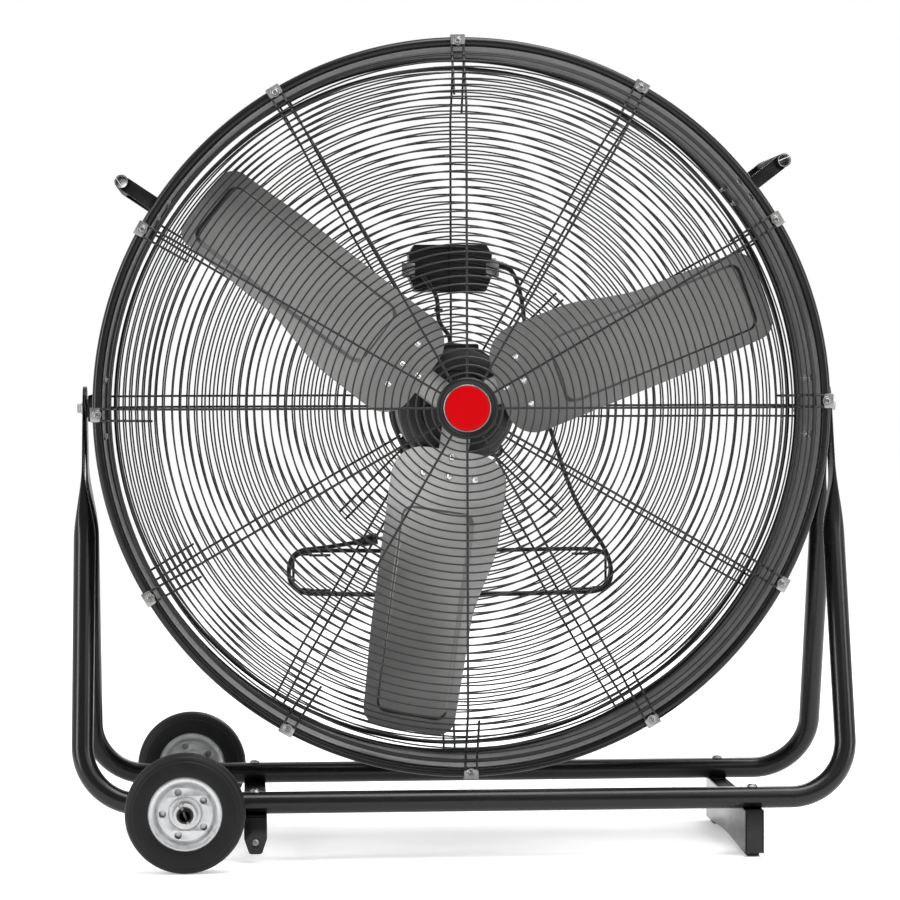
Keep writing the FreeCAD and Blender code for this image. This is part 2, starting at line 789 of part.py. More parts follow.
def motor_housing():
    radius = dim("motor_radius")
    bell_depth = 16.0
    front = mm("motor_front")
    back = mm("motor_back")
    shell = pipe("motor_tube", radius, radius - 3, back - front - 2 * bell_depth,
                 motor_axis_point(front + bell_depth), Y_AXIS)
    node(shell, "motor_shell")
    bearing_outer = 20.0
    bell = [(bearing_outer, 0), (radius - 16, 0), (radius - 4, 4), (radius, 10), (radius, bell_depth),
            (radius - 4, bell_depth), (radius - 4, 12), (radius - 16, 6), (bearing_outer + 6, 6),
            (bearing_outer + 6, 12), (bearing_outer, 12)]
    front_bell = revolved("front_bell_turn", bell, motor_axis_point(front), Y_AXIS)
    node(front_bell, "motor_front_bell")
    rear_bell = revolved("rear_bell_turn", bell, motor_axis_point(back), Y_AXIS * -1)
    node(rear_bell, "motor_rear_bell")
    bearings = [
        pipe("bearing_%s" % end, bearing_outer, dim("shaft_radius") + dim("running_fit"), 12,
             motor_axis_point(station), Y_AXIS)
        for end, station in (("front", front), ("rear", back - 12))
    ]
    node(group("bearing_pair", bearings), "motor_bearings")


def motor_stator():
    core = pipe("stator_stack", dim("motor_radius") - 3, STATOR_BORE, STATOR_LENGTH,
                motor_axis_point(STATOR_START), Y_AXIS)
    node(core, "stator_core")
    windings = []
    for end, station in (("front", STATOR_START - 12), ("rear", STATOR_START + STATOR_LENGTH)):
        windings.append(pipe("winding_%s" % end, 76, 58, 12, motor_axis_point(station), Y_AXIS))
    node(group("winding_pair", windings), "stator_windings")


def motor_fasteners():
    """Bolts through the mount plate's lugs, and three small screws on its top edge."""
    start = mm("motor_back")
    top = start + MOUNT_PLATE_SHEET
    bolts = []
    for number in range(4):
        centre = drum_point(45 + 90 * number, mm("mount_bolt_circle"), start)
        shank = cylinder("mount_shank_%d" % number, MOUNT_BOLT_RADIUS, 14, centre, Y_AXIS)
        head = cylinder("mount_head_%d" % number, 7.5, 5, centre - V(0, 5, 0), Y_AXIS)
        washer_seat = V(0, top + 2 * mm("spoke_wire_radius") + 0.02 - start, 0)
        nut = cylinder("mount_nut_%d" % number, 9, 5, centre + washer_seat, Y_AXIS)
        bolts.append(fuse("mount_bolt_%d" % number, [shank, head, nut]))
    node(group("mount_bolt_set", bolts), "motor_bolts")
    master = screw_master("plate_screw", 4.5, 3.0, SMALL_SHANK, MOUNT_PLATE_SHEET - 0.1)
    seats = [spot(point(x, start, mm("pivot_height") + PLATE_SCREW_RISE), Y_AXIS * -1)
             for x in PLATE_SCREW_OFFSETS]
    return copies("plate_screw_set", master, seats)


# ---------------------------------------------------------------- rotor

BLADE_BEARINGS = (68.0, 188.0, 308.0)
ARM_THICKNESS = 4.0
RIVET_SPOTS = ((0.0, 72.0), (-42.0, 99.0), (0.0, 99.0), (42.0, 99.0))
RIVET_SHANK = 3.0
ROOT_CAMBER = 0.4


def blade_section(radius, chord, angle, camber):
    """Closed strip across the blade: front arc, trailing end, back arc, leading end."""
    pitch = math.radians(angle)
    half_sheet = mm("blade_sheet") / 2
    along_chord = V(math.cos(pitch), math.sin(pitch), 0)
    backwards = V(-math.sin(pitch), math.cos(pitch), 0)
    hub = V(0, mm("blade_offset"), radius)

    def at(share, lift):
        return hub + along_chord * (share * chord) + backwards * lift

    def edge(lift):
        if camber:
            return Part.Arc(at(-0.5, lift), at(0, lift + camber), at(0.5, lift)).toShape()
        return Part.LineSegment(at(-0.5, lift), at(0.5, lift)).toShape()

    front = edge(-half_sheet)
    back = edge(half_sheet)
    ends = [Part.LineSegment(at(s, -half_sheet), at(s, half_sheet)).toShape() for s in (-0.5, 0.5)]
    return Part.Wire(Part.__sortEdges__([front, ends[1], back, ends[0]]))


def ease(low, high, value):
    """Smooth step from 0 at low to 1 at high."""
    share = min(1.0, max(0.0, (value - low) / (high - low)))
    return share * share * (3 - 2 * share)


def blade_outline():
    """Outline seen along the drum's axis: a wide rounded root, narrowing on its counter-clockwise side."""
    tip = mm("blade_tip_radius")
    root = 62.0
    root_corner = 44.0
    tip_corner = 26.0

    def left(radius):
        return -78.0 + 21.0 * ease(175.0, 305.0, radius) + 3.0 * ease(300.0, tip, radius)

    def right(radius):
        return 79.0 - 5.0 * ease(300.0, tip, radius)

    def side_edge(offset, radii):
        curve = Part.BSplineCurve()
        curve.interpolate([V(offset(radius), 0, radius) for radius in radii])
        return curve.toShape()

    def corner(start, across, up):
        """Quarter round that starts on a side and ends on the root or tip edge."""
        radius = abs(across)
        bulge = 1 - math.sqrt(0.5)
        middle = start + V(across * bulge, 0, up * radius * (1 - bulge))
        return Part.Arc(start, middle, start + V(across, 0, up * radius)).toShape()

    side_start = root + root_corner
    side_end = tip - tip_corner
    radii = [side_start + (side_end - side_start) * step / 16 for step in range(17)]
    low_left = V(left(side_start), 0, side_start)
    low_right = V(right(side_start), 0, side_start)
    high_left = V(left(side_end), 0, side_end)
    high_right = V(right(side_end), 0, side_end)
    return [
        Part.LineSegment(low_left + V(root_corner, 0, -root_corner),
                         low_right + V(-root_corner, 0, -root_corner)).toShape(),
        corner(low_right, -root_corner, -1),
        side_edge(right, radii),
        corner(high_right, -tip_corner, 1),
        Part.LineSegment(high_right + V(-tip_corner, 0, tip_corner),
                         high_left + V(tip_corner, 0, tip_corner)).toShape(),
        corner(high_left, tip_corner, 1),
        side_edge(left, radii),
        corner(low_left, root_corner, -1),
    ]


def blade_master():
    """One blade at the top: a twisted, cambered sheet trimmed to a rounded outline."""
    root_angle = mm("blade_root_angle")
    tip_angle = mm("blade_tip_angle")
    straight_end = 130.0
    outer_end = mm("blade_tip_radius") + 12
    sections = []
    for share in (0.0, 0.33, 0.67, 1.0):
        radius = straight_end + share * (outer_end - straight_end)
        angle = root_angle + share * (tip_angle - root_angle)
        camber = ROOT_CAMBER + 9.0 * math.sin(math.pi * min(1.0, share * 1.5) / 2)
        sections.append(blade_section(radius, 205 - 45 * share, angle, camber))
    outer = Part.makeLoft(sections, True, False)
    inner = Part.makeLoft([blade_section(55, 205, root_angle, ROOT_CAMBER),
                           blade_section(straight_end, 205, root_angle, ROOT_CAMBER)], True, True)
    sheet_blank = solid_feature("blade_sheet", outer.fuse(inner))
    outline = blade_outline()
    face = Part.Face(Part.Wire(Part.__sortEdges__(outline)))
    face.translate(V(0, -120, 0))
    prism = solid_feature("blade_prism", face.extrude(V(0, 240, 0)))
    blank = common("blade_blank", [sheet_blank, prism])
    return cut("blade_master", blank, fuse("blade_rivet_holes", rivet_holes("blade")))


def rivet_seat(offset, radius):
    """Placement on the blade's front face at the root, with local Z along the face's normal."""
    pitch = math.radians(mm("blade_root_angle"))
    normal = V(math.sin(pitch), -math.cos(pitch), 0)
    on_chord = V(math.cos(pitch), math.sin(pitch), 0) * offset
    front = V(0, mm("blade_offset"), radius) + on_chord + normal * (mm("blade_sheet") / 2)
    return FreeCAD.Placement(front, along(normal))


def rivet_holes(owner):
    holes = []
    for number, (offset, radius) in enumerate(RIVET_SPOTS):
        seat = rivet_seat(offset, radius)
        start = seat.multVec(V(0, 0, 8))
        axis = seat.Rotation.multVec(Z_AXIS) * -1
        holes.append(cylinder("%s_rivet_hole_%d" % (owner, number), RIVET_SHANK, 24, start, axis))
    return holes


def spider():
    """Hub with three pitched arms, each with a wide foot behind its blade."""
    pitch = mm("blade_root_angle")
    lift = mm("blade_sheet") / 2 + ROOT_CAMBER + 0.02
    turn = FreeCAD.Rotation(Z_AXIS, pitch)
    corner = V(0, mm("blade_offset"), 0)

    def slab(name, half, low, high):
        origin = corner + turn.multVec(V(-half, lift, low))
        return block(name, 2 * half, ARM_THICKNESS, high - low, origin, turn)

    arm = fuse("arm_blank", [slab("arm_neck", 23, 18, 100), slab("arm_foot", 52, 84, 114)])
    arm_cut = cut("arm_master", arm, fuse("arm_rivet_holes", rivet_holes("arm")))
    arms = copies("arm_set", arm_cut, [about_drum(bearing) for bearing in BLADE_BEARINGS])
    hub = revolved("hub_turn", [(0, 0), (26, 0), (26, 24), (22, 36), (0, 36)], motor_axis_point(-8), Y_AXIS)
    blank = fuse("spider_blank", [hub, arms])
    bore = cylinder("spider_bore", dim("shaft_radius"), 200, motor_axis_point(-100), Y_AXIS)
    node(cut("spider_cut", blank, bore), "blade_spider")


def rotor():
    blade = blade_master()
    for number, bearing in enumerate(BLADE_BEARINGS, start=1):
        node(copies("blade_copy_%d" % number, blade, [about_drum(bearing)]), "blade_%d" % number)
    rivet = screw_master("rivet", 5.6, 3.0, RIVET_SHANK, 2 + ARM_THICKNESS + 2.0)
    seats = [about_drum(bearing).multiply(rivet_seat(*spot_)) for bearing in BLADE_BEARINGS
             for spot_ in RIVET_SPOTS]
    node(copies("rivet_set", rivet, seats), "blade_rivets")
    spider()
    shaft_start = -12.0
    shaft = cylinder("shaft_rod", dim("shaft_radius"), mm("motor_back") + 1 - shaft_start,
                     motor_axis_point(shaft_start), Y_AXIS)
    node(shaft, "rotor_shaft")
    core = pipe("rotor_stack", dim("rotor_core_radius"), dim("shaft_radius"), STATOR_LENGTH,
                motor_axis_point(STATOR_START), Y_AXIS)
    node(core, "rotor_core")


# ---------------------------------------------------------------- stand

LEAN = math.atan2(mm("stance_half"), mm("pivot_height") - mm("tube_height"))
LEG = math.hypot(mm("stance_half"), mm("pivot_height") - mm("tube_height"))
FLATTEN_START = 185.0
FLATTEN_END = 95.0
FRAME_SCREW_SHANK = 3.2


def frame_point(x, down, sign):
    """Point in a leaning frame's plane: x, and the distance down the leg from the pivot."""
    return V(x, sign * down * math.sin(LEAN), mm("pivot_height") - down * math.cos(LEAN))


def down_leg(sign):
    return V(0, sign * math.sin(LEAN), -math.cos(LEAN))


def flattened_end(name, side, sign, tab_centre):
    """Tube end pressed flat: round section to flat section, then a round-ended tab."""
    axis = down_leg(sign)
    across = V(1, 0, 0).cross(axis)
    plugged = mm("tube_radius") - mm("tube_wall") / 4
    stations = ((FLATTEN_START + 6, mm("upright_offset"), plugged, plugged - 0.1),
                (145.0, 0.55 * mm("upright_offset") + 0.45 * tab_centre, 18.5, 9.0),
                (FLATTEN_END, tab_centre, mm("tab_half_width") + 4, mm("tab_thickness")))
    wires = []
    for down, x, wide, thin in stations:
        centre = frame_point(side * x, down, sign)
        ellipse = Part.Ellipse(centre + across * wide, centre + V(1, 0, 0) * thin, centre)
        wires.append(Part.Wire(ellipse.toShape()))
    neck = Part.makeLoft(wires, True, False)
    half = mm("tab_half_width")
    thick = mm("tab_thickness")
    crown = 8.0
    face_x = side * tab_centre - thick / 2
    low = frame_point(face_x, FLATTEN_END + 6, sign)
    high = frame_point(face_x, -crown, sign)
    outline = Part.Wire([
        Part.LineSegment(low - across * half, low + across * half).toShape(),
        Part.LineSegment(low + across * half, high + across * half).toShape(),
        Part.Arc(high + across * half, high - axis * half, high - across * half).toShape(),
        Part.LineSegment(high - across * half, low - across * half).toShape(),
    ])
    tab = Part.Face(outline).extrude(V(thick, 0, 0))
    return solid_feature("%s_end_%s" % (name, "left" if side < 0 else "right"), neck.fuse(tab))


def frame_tube(label, sign, tab_centre):
    """One leaning U-shaped tube with flattened tops."""
    half = mm("upright_offset")
    corners = [frame_point(-half, FLATTEN_START, sign), frame_point(-half, LEG, sign),
               frame_point(half, LEG, sign), frame_point(half, FLATTEN_START, sign)]
    wire = route_wire(corners, mm("tube_bend"))
    outer = swept(label + "_outer", wire, dim("tube_radius"))
    inner = swept(label + "_inner", wire, dim("tube_radius") - dim("tube_wall"))
    tube = cut(label + "_tube", outer, inner)
    ends = [flattened_end(label, side, sign, tab_centre) for side in (-1, 1)]
    blank = fuse(label + "_blank", [tube] + ends)
    station = sign * mm("stance_half")
    tools = [
        cylinder(label + "_axle_hole", dim("axle_radius"), 60,
                 point(-mm("wheel_offset"), station - 30, mm("tube_height")), Y_AXIS),
        cylinder(label + "_pivot_hole", dim("bolt_radius"), 1200, point(-600, 0, mm("pivot_height")), X_AXIS),
    ]
    for number, x in enumerate((-mm("brace_offset"), mm("foot_offset"))):
        tools.append(cylinder("%s_screw_hole_%d" % (label, number), FRAME_SCREW_SHANK, 60,
                              point(x, station, mm("tube_height") - 30)))
    node(cut(label + "_cut", blank, fuse(label + "_tools", tools)), label)


EAR_FOOT = 13.0
EAR_SCREW = 29.0


def left_brace():
    """Sheet strap under both tubes, with a tapered ear turned down at each end."""
    half_length = mm("brace_half_length")
    sheet_metal = dim("brace_sheet")
    top = mm("tube_height") - mm("tube_radius")
    centre = -mm("brace_offset")
    web = block("brace_web", dim("brace_width"), dim("brace_half_length") * 2, sheet_metal,
                point(centre - mm("brace_width") / 2, -half_length, top - mm("brace_sheet")))
    wide = mm("brace_width") / 2
    narrow = 8.5
    taper_start = 34.0
    ear_outline = [(-wide, top), (-wide, taper_start), (-narrow, EAR_FOOT), (narrow, EAR_FOOT),
                   (wide, taper_start), (wide, top)]
    ears = []
    for end, start in (("front", -half_length + mm("brace_sheet")), ("rear", half_length)):
        ears.append(padded("brace_ear_%s" % end, ear_outline, sheet_metal, point(centre, start, 0), FACING,
                           circles=[(0, EAR_SCREW, 2.5)]))
    blank = fuse("brace_blank", [web] + ears)
    holes = [cylinder("brace_hole_%d" % number, FRAME_SCREW_SHANK, 10,
                      point(centre, station * mm("stance_half"), top - 8))
             for number, station in enumerate((-1, 1))]
    node(cut("brace_cut", blank, fuse("brace_holes", holes)), "left_brace")


def foot_bar():
    """Channel under both tubes with a low arch along its lower edge and closed ends."""
    half_length = mm("brace_half_length")
    top = mm("tube_height") - mm("tube_radius")
    sole = mm("sole_height")
    wall = 2.5
    pad_length = 46.0
    arch_rise = 5.0
    arch_steps = 8
    side_view = FreeCAD.Rotation(Y_AXIS, Z_AXIS, X_AXIS, "ZXY")

    span = half_length - pad_length
    arch = [(-span + 2 * span * step / arch_steps,
             sole + arch_rise * math.sin(math.pi * step / arch_steps))
            for step in range(arch_steps + 1)]
    outline = [(half_length, sole), (half_length, top), (-half_length, top), (-half_length, sole)] + arch
    centre = mm("foot_offset")
    outer = padded("foot_outer", outline, dim("foot_width"),
                   point(centre - mm("foot_width") / 2, 0, 0), side_view)
    inner_width = mm("foot_width") - 2 * wall
    inner = block("foot_inner", inner_width, 2 * (half_length - wall), top - sole - 2 * wall,
                  point(centre - inner_width / 2, wall - half_length, sole + wall))
    mouth = block("foot_mouth", inner_width, 2 * span, sole + wall + 1,
                  point(centre - inner_width / 2, -span, 0))
    channel = cut("foot_channel", outer, fuse("foot_hollow", [inner, mouth]))
    holes = [cylinder("foot_hole_%d" % number, FRAME_SCREW_SHANK, 10,
                      point(centre, station * mm("stance_half"), top - 8))
             for number, station in enumerate((-1, 1))]
    node(cut("foot_cut", channel, fuse("foot_holes", holes)), "foot_bar")


def foot_pads():
    """Rubber: bumpers behind the left ears, and soles under the foot bar."""
    pads = []
    half_length = mm("brace_half_length")
    inner_face = half_length - mm("brace_sheet")
    centre = -mm("brace_offset")
    depth = 16.0
    for end, start in (("front", -inner_face), ("rear", inner_face - depth)):
        pads.append(block("ear_pad_%s" % end, 17, depth, 30, point(centre - 8.5, start, EAR_FOOT + 1)))
    sole_width = 17.0
    sole_length = 30.0
    inset = 13.0
    for end, start in (("front", inset - half_length), ("rear", half_length - sole_length - inset)):
        pads.append(block("bar_sole_%s" % end, sole_width, sole_length, dim("sole_height"),
                          point(mm("foot_offset") - sole_width / 2, start, 0)))
    holes = cylinder("ear_pad_hole", 2.5, 2 * half_length, point(centre, -half_length, EAR_SCREW), Y_AXIS)
    node(cut("pad_cut", group("pad_set", pads), holes), "foot_pads")


def frame_screws():
    """Screws through the tubes into the braces, with nuts, and the ears' pad screws."""
    tube_top = mm("tube_height") + mm("tube_radius")
    reach = 2 * mm("tube_radius") + mm("brace_sheet") + 7
    through = screw_master("frame_screw", 7.0, 4.0, FRAME_SCREW_SHANK, reach)
    through_nut = revolved("frame_nut", [(FRAME_SCREW_SHANK, -reach + 1), (7, -reach + 1), (7, -reach + 6.9),
                                         (FRAME_SCREW_SHANK, -reach + 6.9)])
    screw = fuse("frame_screw_and_nut", [through, through_nut])
    places = [spot(point(x, station * mm("stance_half"), tube_top), Z_AXIS)
              for x in (-mm("brace_offset"), mm("foot_offset")) for station in (-1, 1)]
    long_set = copies("frame_screw_set", screw, places)
    short = screw_master("ear_screw", 4.5, 3.0, 2.5, 16.0)
    ears = [spot(point(-mm("brace_offset"), sign * mm("brace_half_length"), EAR_SCREW), Y_AXIS * sign)
            for sign in (-1, 1)]
    ear_set = copies("ear_screw_set", short, ears)
    node(group("frame_screw_group", [long_set, ear_set]), "frame_screws")


def pivot_hardware():
    """Pivot bolts with washers and nuts, and the spacers that the drum's brackets turn against."""
    outer_face = mm("tab_inner_face") + 2 * mm("tab_thickness")
    nut_start = BRACKET_FACE - 11
    shank_start = nut_start - 3.3
    bolts = []
    spacers = []
    for side, sign in (("left", -1), ("right", 1)):
        heading = V(sign, 0, 0)
        height = mm("pivot_height")
        shank = cylinder("pivot_shank_%s" % side, dim("bolt_radius"), outer_face + 4 - shank_start,
                         point(sign * shank_start, 0, height), heading)
        washer = cylinder("pivot_washer_%s" % side, 12, 2, point(sign * outer_face, 0, height), heading)
        head = cylinder("pivot_head_%s" % side, 8.5, 6, point(sign * (outer_face + 2), 0, height), heading)
        nut = cylinder("pivot_nut_%s" % side, 8.5, 7.5, point(sign * nut_start, 0, height), heading)
        bolts.append(fuse("pivot_bolt_%s" % side, [shank, washer, head, nut]))
        thickness = mm("tab_inner_face") - BRACKET_FACE - 0.35
        spacers.append(pipe("pivot_spacer_%s" % side, 13, dim("bolt_radius"), thickness,
                            point(sign * (BRACKET_FACE + 0.35), 0, height), heading))
    node(group("pivot_bolt_pair", bolts), "pivot_bolts")
    node(group("pivot_spacer_pair", spacers), "pivot_spacers")


# ---------------------------------------------------------------- wheels and axle


def axle():
    reach = mm("wheel_station") + mm("wheel_width") / 2 + 16
    rod = cylinder("axle_rod", dim("axle_radius"), 2 * reach,
                   point(-mm("wheel_offset"), -reach, mm("tube_height")), Y_AXIS)
    pin_station = mm("wheel_station") + mm("wheel_width") / 2 + 7
    holes = []
    pins = []
    tilt = math.radians(22)
    heading = V(-math.sin(tilt), 0, math.cos(tilt))
    half_pin = 14.0
    for side, sign in (("front", -1), ("rear", 1)):
        middle = point(-mm("wheel_offset"), sign * pin_station, mm("tube_height"))
        origin = middle - heading * half_pin
        holes.append(cylinder("pin_hole_%s" % side, 1.8, 2 * half_pin, origin, heading))
        pins.append(cylinder("cotter_%s" % side, 1.8, 2 * half_pin, origin, heading))
    node(cut("axle_cut", rod, fuse("pin_holes", holes)), "axle")
    node(group("cotter_pair", pins), "cotter_pins")
    washers = []
    hub_half = mm("wheel_width") / 2 + 2
    for side, sign in (("front", -1), ("rear", 1)):
        nearest = mm("wheel_station") - hub_half - 2.4
        furthest = mm("wheel_station") + hub_half + 0.4
        for which, near in (("inner", nearest), ("outer", furthest)):
            start = near if sign > 0 else -near - 2.0
            washers.append(pipe("washer_%s_%s" % (side, which), 15, dim("axle_radius"), 2.0,
                                point(-mm("wheel_offset"), start, mm("tube_height")), Y_AXIS))
        spacer_start = mm("stance_half") + mm("tube_radius") + 0.5
        spacer_length = mm("wheel_station") - hub_half - 2.4 - spacer_start
        start = spacer_start if sign > 0 else -spacer_start - spacer_length
        washers.append(pipe("sleeve_%s" % side, 11, dim("axle_radius"), spacer_length,
                            point(-mm("wheel_offset"), start, mm("tube_height")), Y_AXIS))
    node(group("washer_set", washers), "axle_washers")


def wheel(side, sign):
    """Rubber tyre on a pressed steel disc with a ring of holes, turning on a hub sleeve."""
    half = mm("wheel_width") / 2
    centre = point(-mm("wheel_offset"), sign * mm("wheel_station"), mm("tube_height"))
    facing = Y_AXIS * sign
    rim = 49.5
    outer = dim("wheel_radius")
    tyre = [(rim, -half + 5), (rim + 4, -half), (outer - 8, -half), (outer, -half + 7), (outer, half - 7),
            (outer - 8, half), (rim + 4, half), (rim, half - 5)]
    node(revolved("tyre_%s_turn" % side, tyre, centre, facing), "%s_wheel_tyre" % side)
    hub = 14.6
    disc = revolved("disc_%s_turn" % side,
                    [(hub, 8), (21, 8), (24, 5), (36, 5), (40, 9), (46, 12), (rim, 12), (rim, -12),
                     (46, -12), (40, -9), (36, -5), (24, -5), (21, -8), (hub, -8)], centre, facing)
    ring_of_holes(disc, "disc_%s" % side, 4.8, 30.0, 5, 180.0, 20.0)
    node(disc, "%s_wheel_disc" % side)
    bore = dim("axle_radius") + dim("running_fit")
    sleeve = half + 2
    hub_profile = [(bore, -sleeve), (11, -sleeve), (11, -14), (hub, -12), (hub, 12), (11, 14),
                   (11, sleeve), (bore, sleeve)]
    hub_body = revolved("hub_%s_turn" % side, hub_profile, centre, facing)
    node(hub_body, "%s_wheel_hub" % side)


# ---------------------------------------------------------------- switch box and cords

BOX_WALL = 2.5
LEAD_HOLE = 5.0


def box_centre(station=0.0):
    return point(0, station, mm("pivot_height") + mm("box_rise") + mm("box_height") / 2)


def switch_box():
    """Steel box with cut corners behind the rear guard, with a lid on its back."""
    half_width = mm("box_width") / 2
    half_height = mm("box_height") / 2
    upper = [(half_width, half_height - 13), (half_width - 8, half_height)]
    lower = [(half_width - 9, -half_height), (half_width, 22 - half_height)]
    right_side = lower + upper
    outline = right_side + [(-x, z) for x, z in reversed(right_side)]
    face = mm("box_face")
    depth = mm("box_depth")
    shell = padded("box_shell", outline, dim("box_depth"), box_centre(face + depth), FACING)
    inner = [(x * (1 - BOX_WALL / half_width), y * (1 - BOX_WALL / half_height)) for x, y in outline]
    cavity = padded("box_cavity", inner, depth, box_centre(face + depth + BOX_WALL), FACING)
    gland_hole = cylinder("box_gland_hole", 8, 20, gland_start() - V(12, 0, 0), X_AXIS)
    lead_hole = cylinder("box_lead_hole", LEAD_HOLE, 20, lead_exit() - V(0, 4, 0), Y_AXIS)
    tools = fuse("box_tools", [cavity, gland_hole, lead_hole])
    node(cut("box_cut", shell, tools), "switch_box")
    lid_start = face + depth
    holes = [(x, z, SMALL_HOLE) for x, z in lid_screw_offsets()]
    lid = padded("box_lid", outline, 2, box_centre(lid_start + 2), FACING, circles=[(0, 0, 6)] + holes)
    node(lid, "switch_box_lid")


def lid_screw_offsets():
    half_width = mm("box_width") / 2 - 9
    half_height = mm("box_height") / 2 - 15
    return [(sx * half_width, sz * half_height) for sx in (-1, 1) for sz in (-1, 1)]


def gland_start():
    return point(mm("box_width") / 2, 203, mm("pivot_height") + mm("box_rise") + 40)


def lead_exit():
    """Where the motor's lead leaves the box's front face, midway between two guard rings."""
    rings = 8.5
    radius = mm("rear_first_ring") + rings * mm("ring_pitch")
    offset = -42.0
    return point(offset, mm("box_face"), mm("pivot_height") + math.sqrt(radius ** 2 - offset ** 2))


def glands():
    """Cable gland in the box's end wall, and a grommet where the motor's lead leaves its face."""
    seam = V(0.02, 0, 0)
    neck = cylinder("gland_neck", 8, 6, gland_start() - V(4, 0, 0), X_AXIS)
    nut = cylinder("gland_nut", 10, 9, gland_start() + seam, X_AXIS)
    bore = cylinder("gland_bore", dim("cord_radius"), 30, gland_start() - V(10, 0, 0), X_AXIS)
    cord_gland = cut("gland_body", fuse("gland_blank", [neck, nut]), bore)
    lip = 1.8
    collar = cylinder("grommet_collar", LEAD_HOLE, BOX_WALL + 1, lead_exit() - V(0, 0.5, 0), Y_AXIS)
    flange = cylinder("grommet_flange", LEAD_HOLE + 2, lip, lead_exit() - V(0, lip + 0.02, 0), Y_AXIS)
    eye = cylinder("grommet_eye", dim("cord_radius"), 30, lead_exit() - V(0, 10, 0), Y_AXIS)
    grommet = cut("grommet_body", fuse("grommet_blank", [collar, flange]), eye)
    node(group("gland_pair", [cord_gland, grommet]), "cord_glands")


def box_brackets():
    """Zinc angles that hold the box's ends to the guard's rings."""
    rings_back = mm("guard_level") + WIRE_STACK + mm("ring_wire_radius")
    height = 20.0
    turned = 14.0
    overlap = 9.0
    reach = mm("box_width") / 2 + 10
    inner_end = mm("box_width") / 2 - overlap
    low = mm("pivot_height") + mm("box_rise") + 22
    thickness = mm("box_face") - rings_back - 0.04
    angles = []
    for side, sign in (("left", -1), ("right", 1)):
        start = inner_end if sign > 0 else -reach
        turn_start = reach - 2 if sign > 0 else -reach
        leaf = block("bracket_leaf_%s" % side, reach - inner_end, thickness, height,
                     point(start, rings_back + 0.02, low))
        upstand = block("bracket_turn_%s" % side, 2, turned, height,
                        point(turn_start, mm("box_face") - 2, low))
        angles.append(fuse("bracket_%s_angle" % side, [leaf, upstand]))
    node(group("box_bracket_pair", angles), "switch_box_bracket")


def switch_knob():
    """Rotary speed knob on the box's lid."""
    lid_back = mm("box_face") + mm("box_depth") + 2
    spindle = cylinder("knob_spindle", 6 - mm("running_fit"), 11, box_centre(lid_back - 10), Y_AXIS)
    skirt = revolved("knob_turn", [(0, 0), (19, 0), (19, 4), (15, 7), (13, 16), (0, 17)],
                     box_centre(lid_back + 0.4), Y_AXIS)
    grip = block("knob_grip", 8, 20, 34, box_centre(lid_back + 3.4) - V(4, 0, 17))
    node(fuse("knob_fuse", [spindle, skirt, grip]), "switch_knob")


def lid_screws():
    master = screw_master("box_screw", 4.5, 3.0, SMALL_SHANK, 10.0)
    centre = box_centre(mm("box_face") + mm("box_depth") + 2)
    seats = [spot(centre + V(x, 0, z), Y_AXIS) for x, z in lid_screw_offsets()]
    return copies("lid_screw_set", master, seats)


COVER_TOP = 90.0
COVER_SHEET = 2.0
LEAD_END = -4.0


def terminal_cover():
    """Sheet cover over the motor's terminals, with a hole for its lead."""
    start = 107.0
    depth = 42.0
    left = -40.0
    width = 76.0
    height = mm("pivot_height")
    floor = 60.0
    outer = block("cover_outer", width, depth, COVER_TOP - floor, point(left, start, height + floor))
    inner = block("cover_inner", width - 2 * COVER_SHEET, depth - 2 * COVER_SHEET,
                  COVER_TOP - COVER_SHEET - floor,
                  point(left + COVER_SHEET, start + COVER_SHEET, height + floor))
    round_seat = cylinder("cover_seat", dim("motor_radius") + 0.02, 100, motor_axis_point(start - 20), Y_AXIS)
    hole = cylinder("cover_hole", dim("cord_radius") + 0.05, 20,
                    point(LEAD_END, 132, height + COVER_TOP - 10))
    tools = fuse("cover_tools", [inner, round_seat, hole])
    node(cut("cover_cut", outer, tools), "terminal_cover")


def motor_lead():
    """Lead from the box's face, forward through the guard and down to the motor's cover."""
    start = lead_exit()
    height = mm("pivot_height")
    points = [
        start + V(0, 5, 0),
        start - V(0, 28, 0),
        V(-22, 134, height + 160),
        V(-21, 134, height + 122),
        V(LEAD_END, 132, height + 101),
        V(LEAD_END, 132, height + COVER_TOP - 5.4),
    ]
    lead = swept("lead_sweep", route_wire(points, report="motor_lead"), dim("cord_radius"))
    node(lead, "motor_lead")
    tie = pipe("tie_band", 5.2, mm("cord_radius") + 0.15, 4, V(-21.5, 134, height + 139), Z_AXIS)
    node(tie, "cable_tie")


def cord_hooks():
    """Two bent wire hooks on the back of the rear guard that the cord is wound round."""
    back = mm("guard_level") + WIRE_STACK + mm("ring_wire_radius")
    base = back + mm("hook_wire_radius") + 0.02
    rise = mm("hook_half_height")
    outer = 24.0
    tip = base + 34
    hooks = []
    for side, sign in (("left", -1), ("right", 1)):
        foot = V(sign * mm("hook_offset"), 0, mm("pivot_height") - mm("hook_drop"))
        upper = [V(-sign * 30, base, rise), V(0, base, rise), V(0, base + 22, rise),
                 V(sign * outer, tip, rise)]
        shape = upper + [V(corner.x, corner.y, -rise) for corner in reversed(upper)]
        wire = route_wire([foot + corner for corner in shape], 5.0)
        hooks.append(swept("hook_%s" % side, wire, dim("hook_wire_radius")))
    node(group("hook_pair", hooks), "cord_hooks")


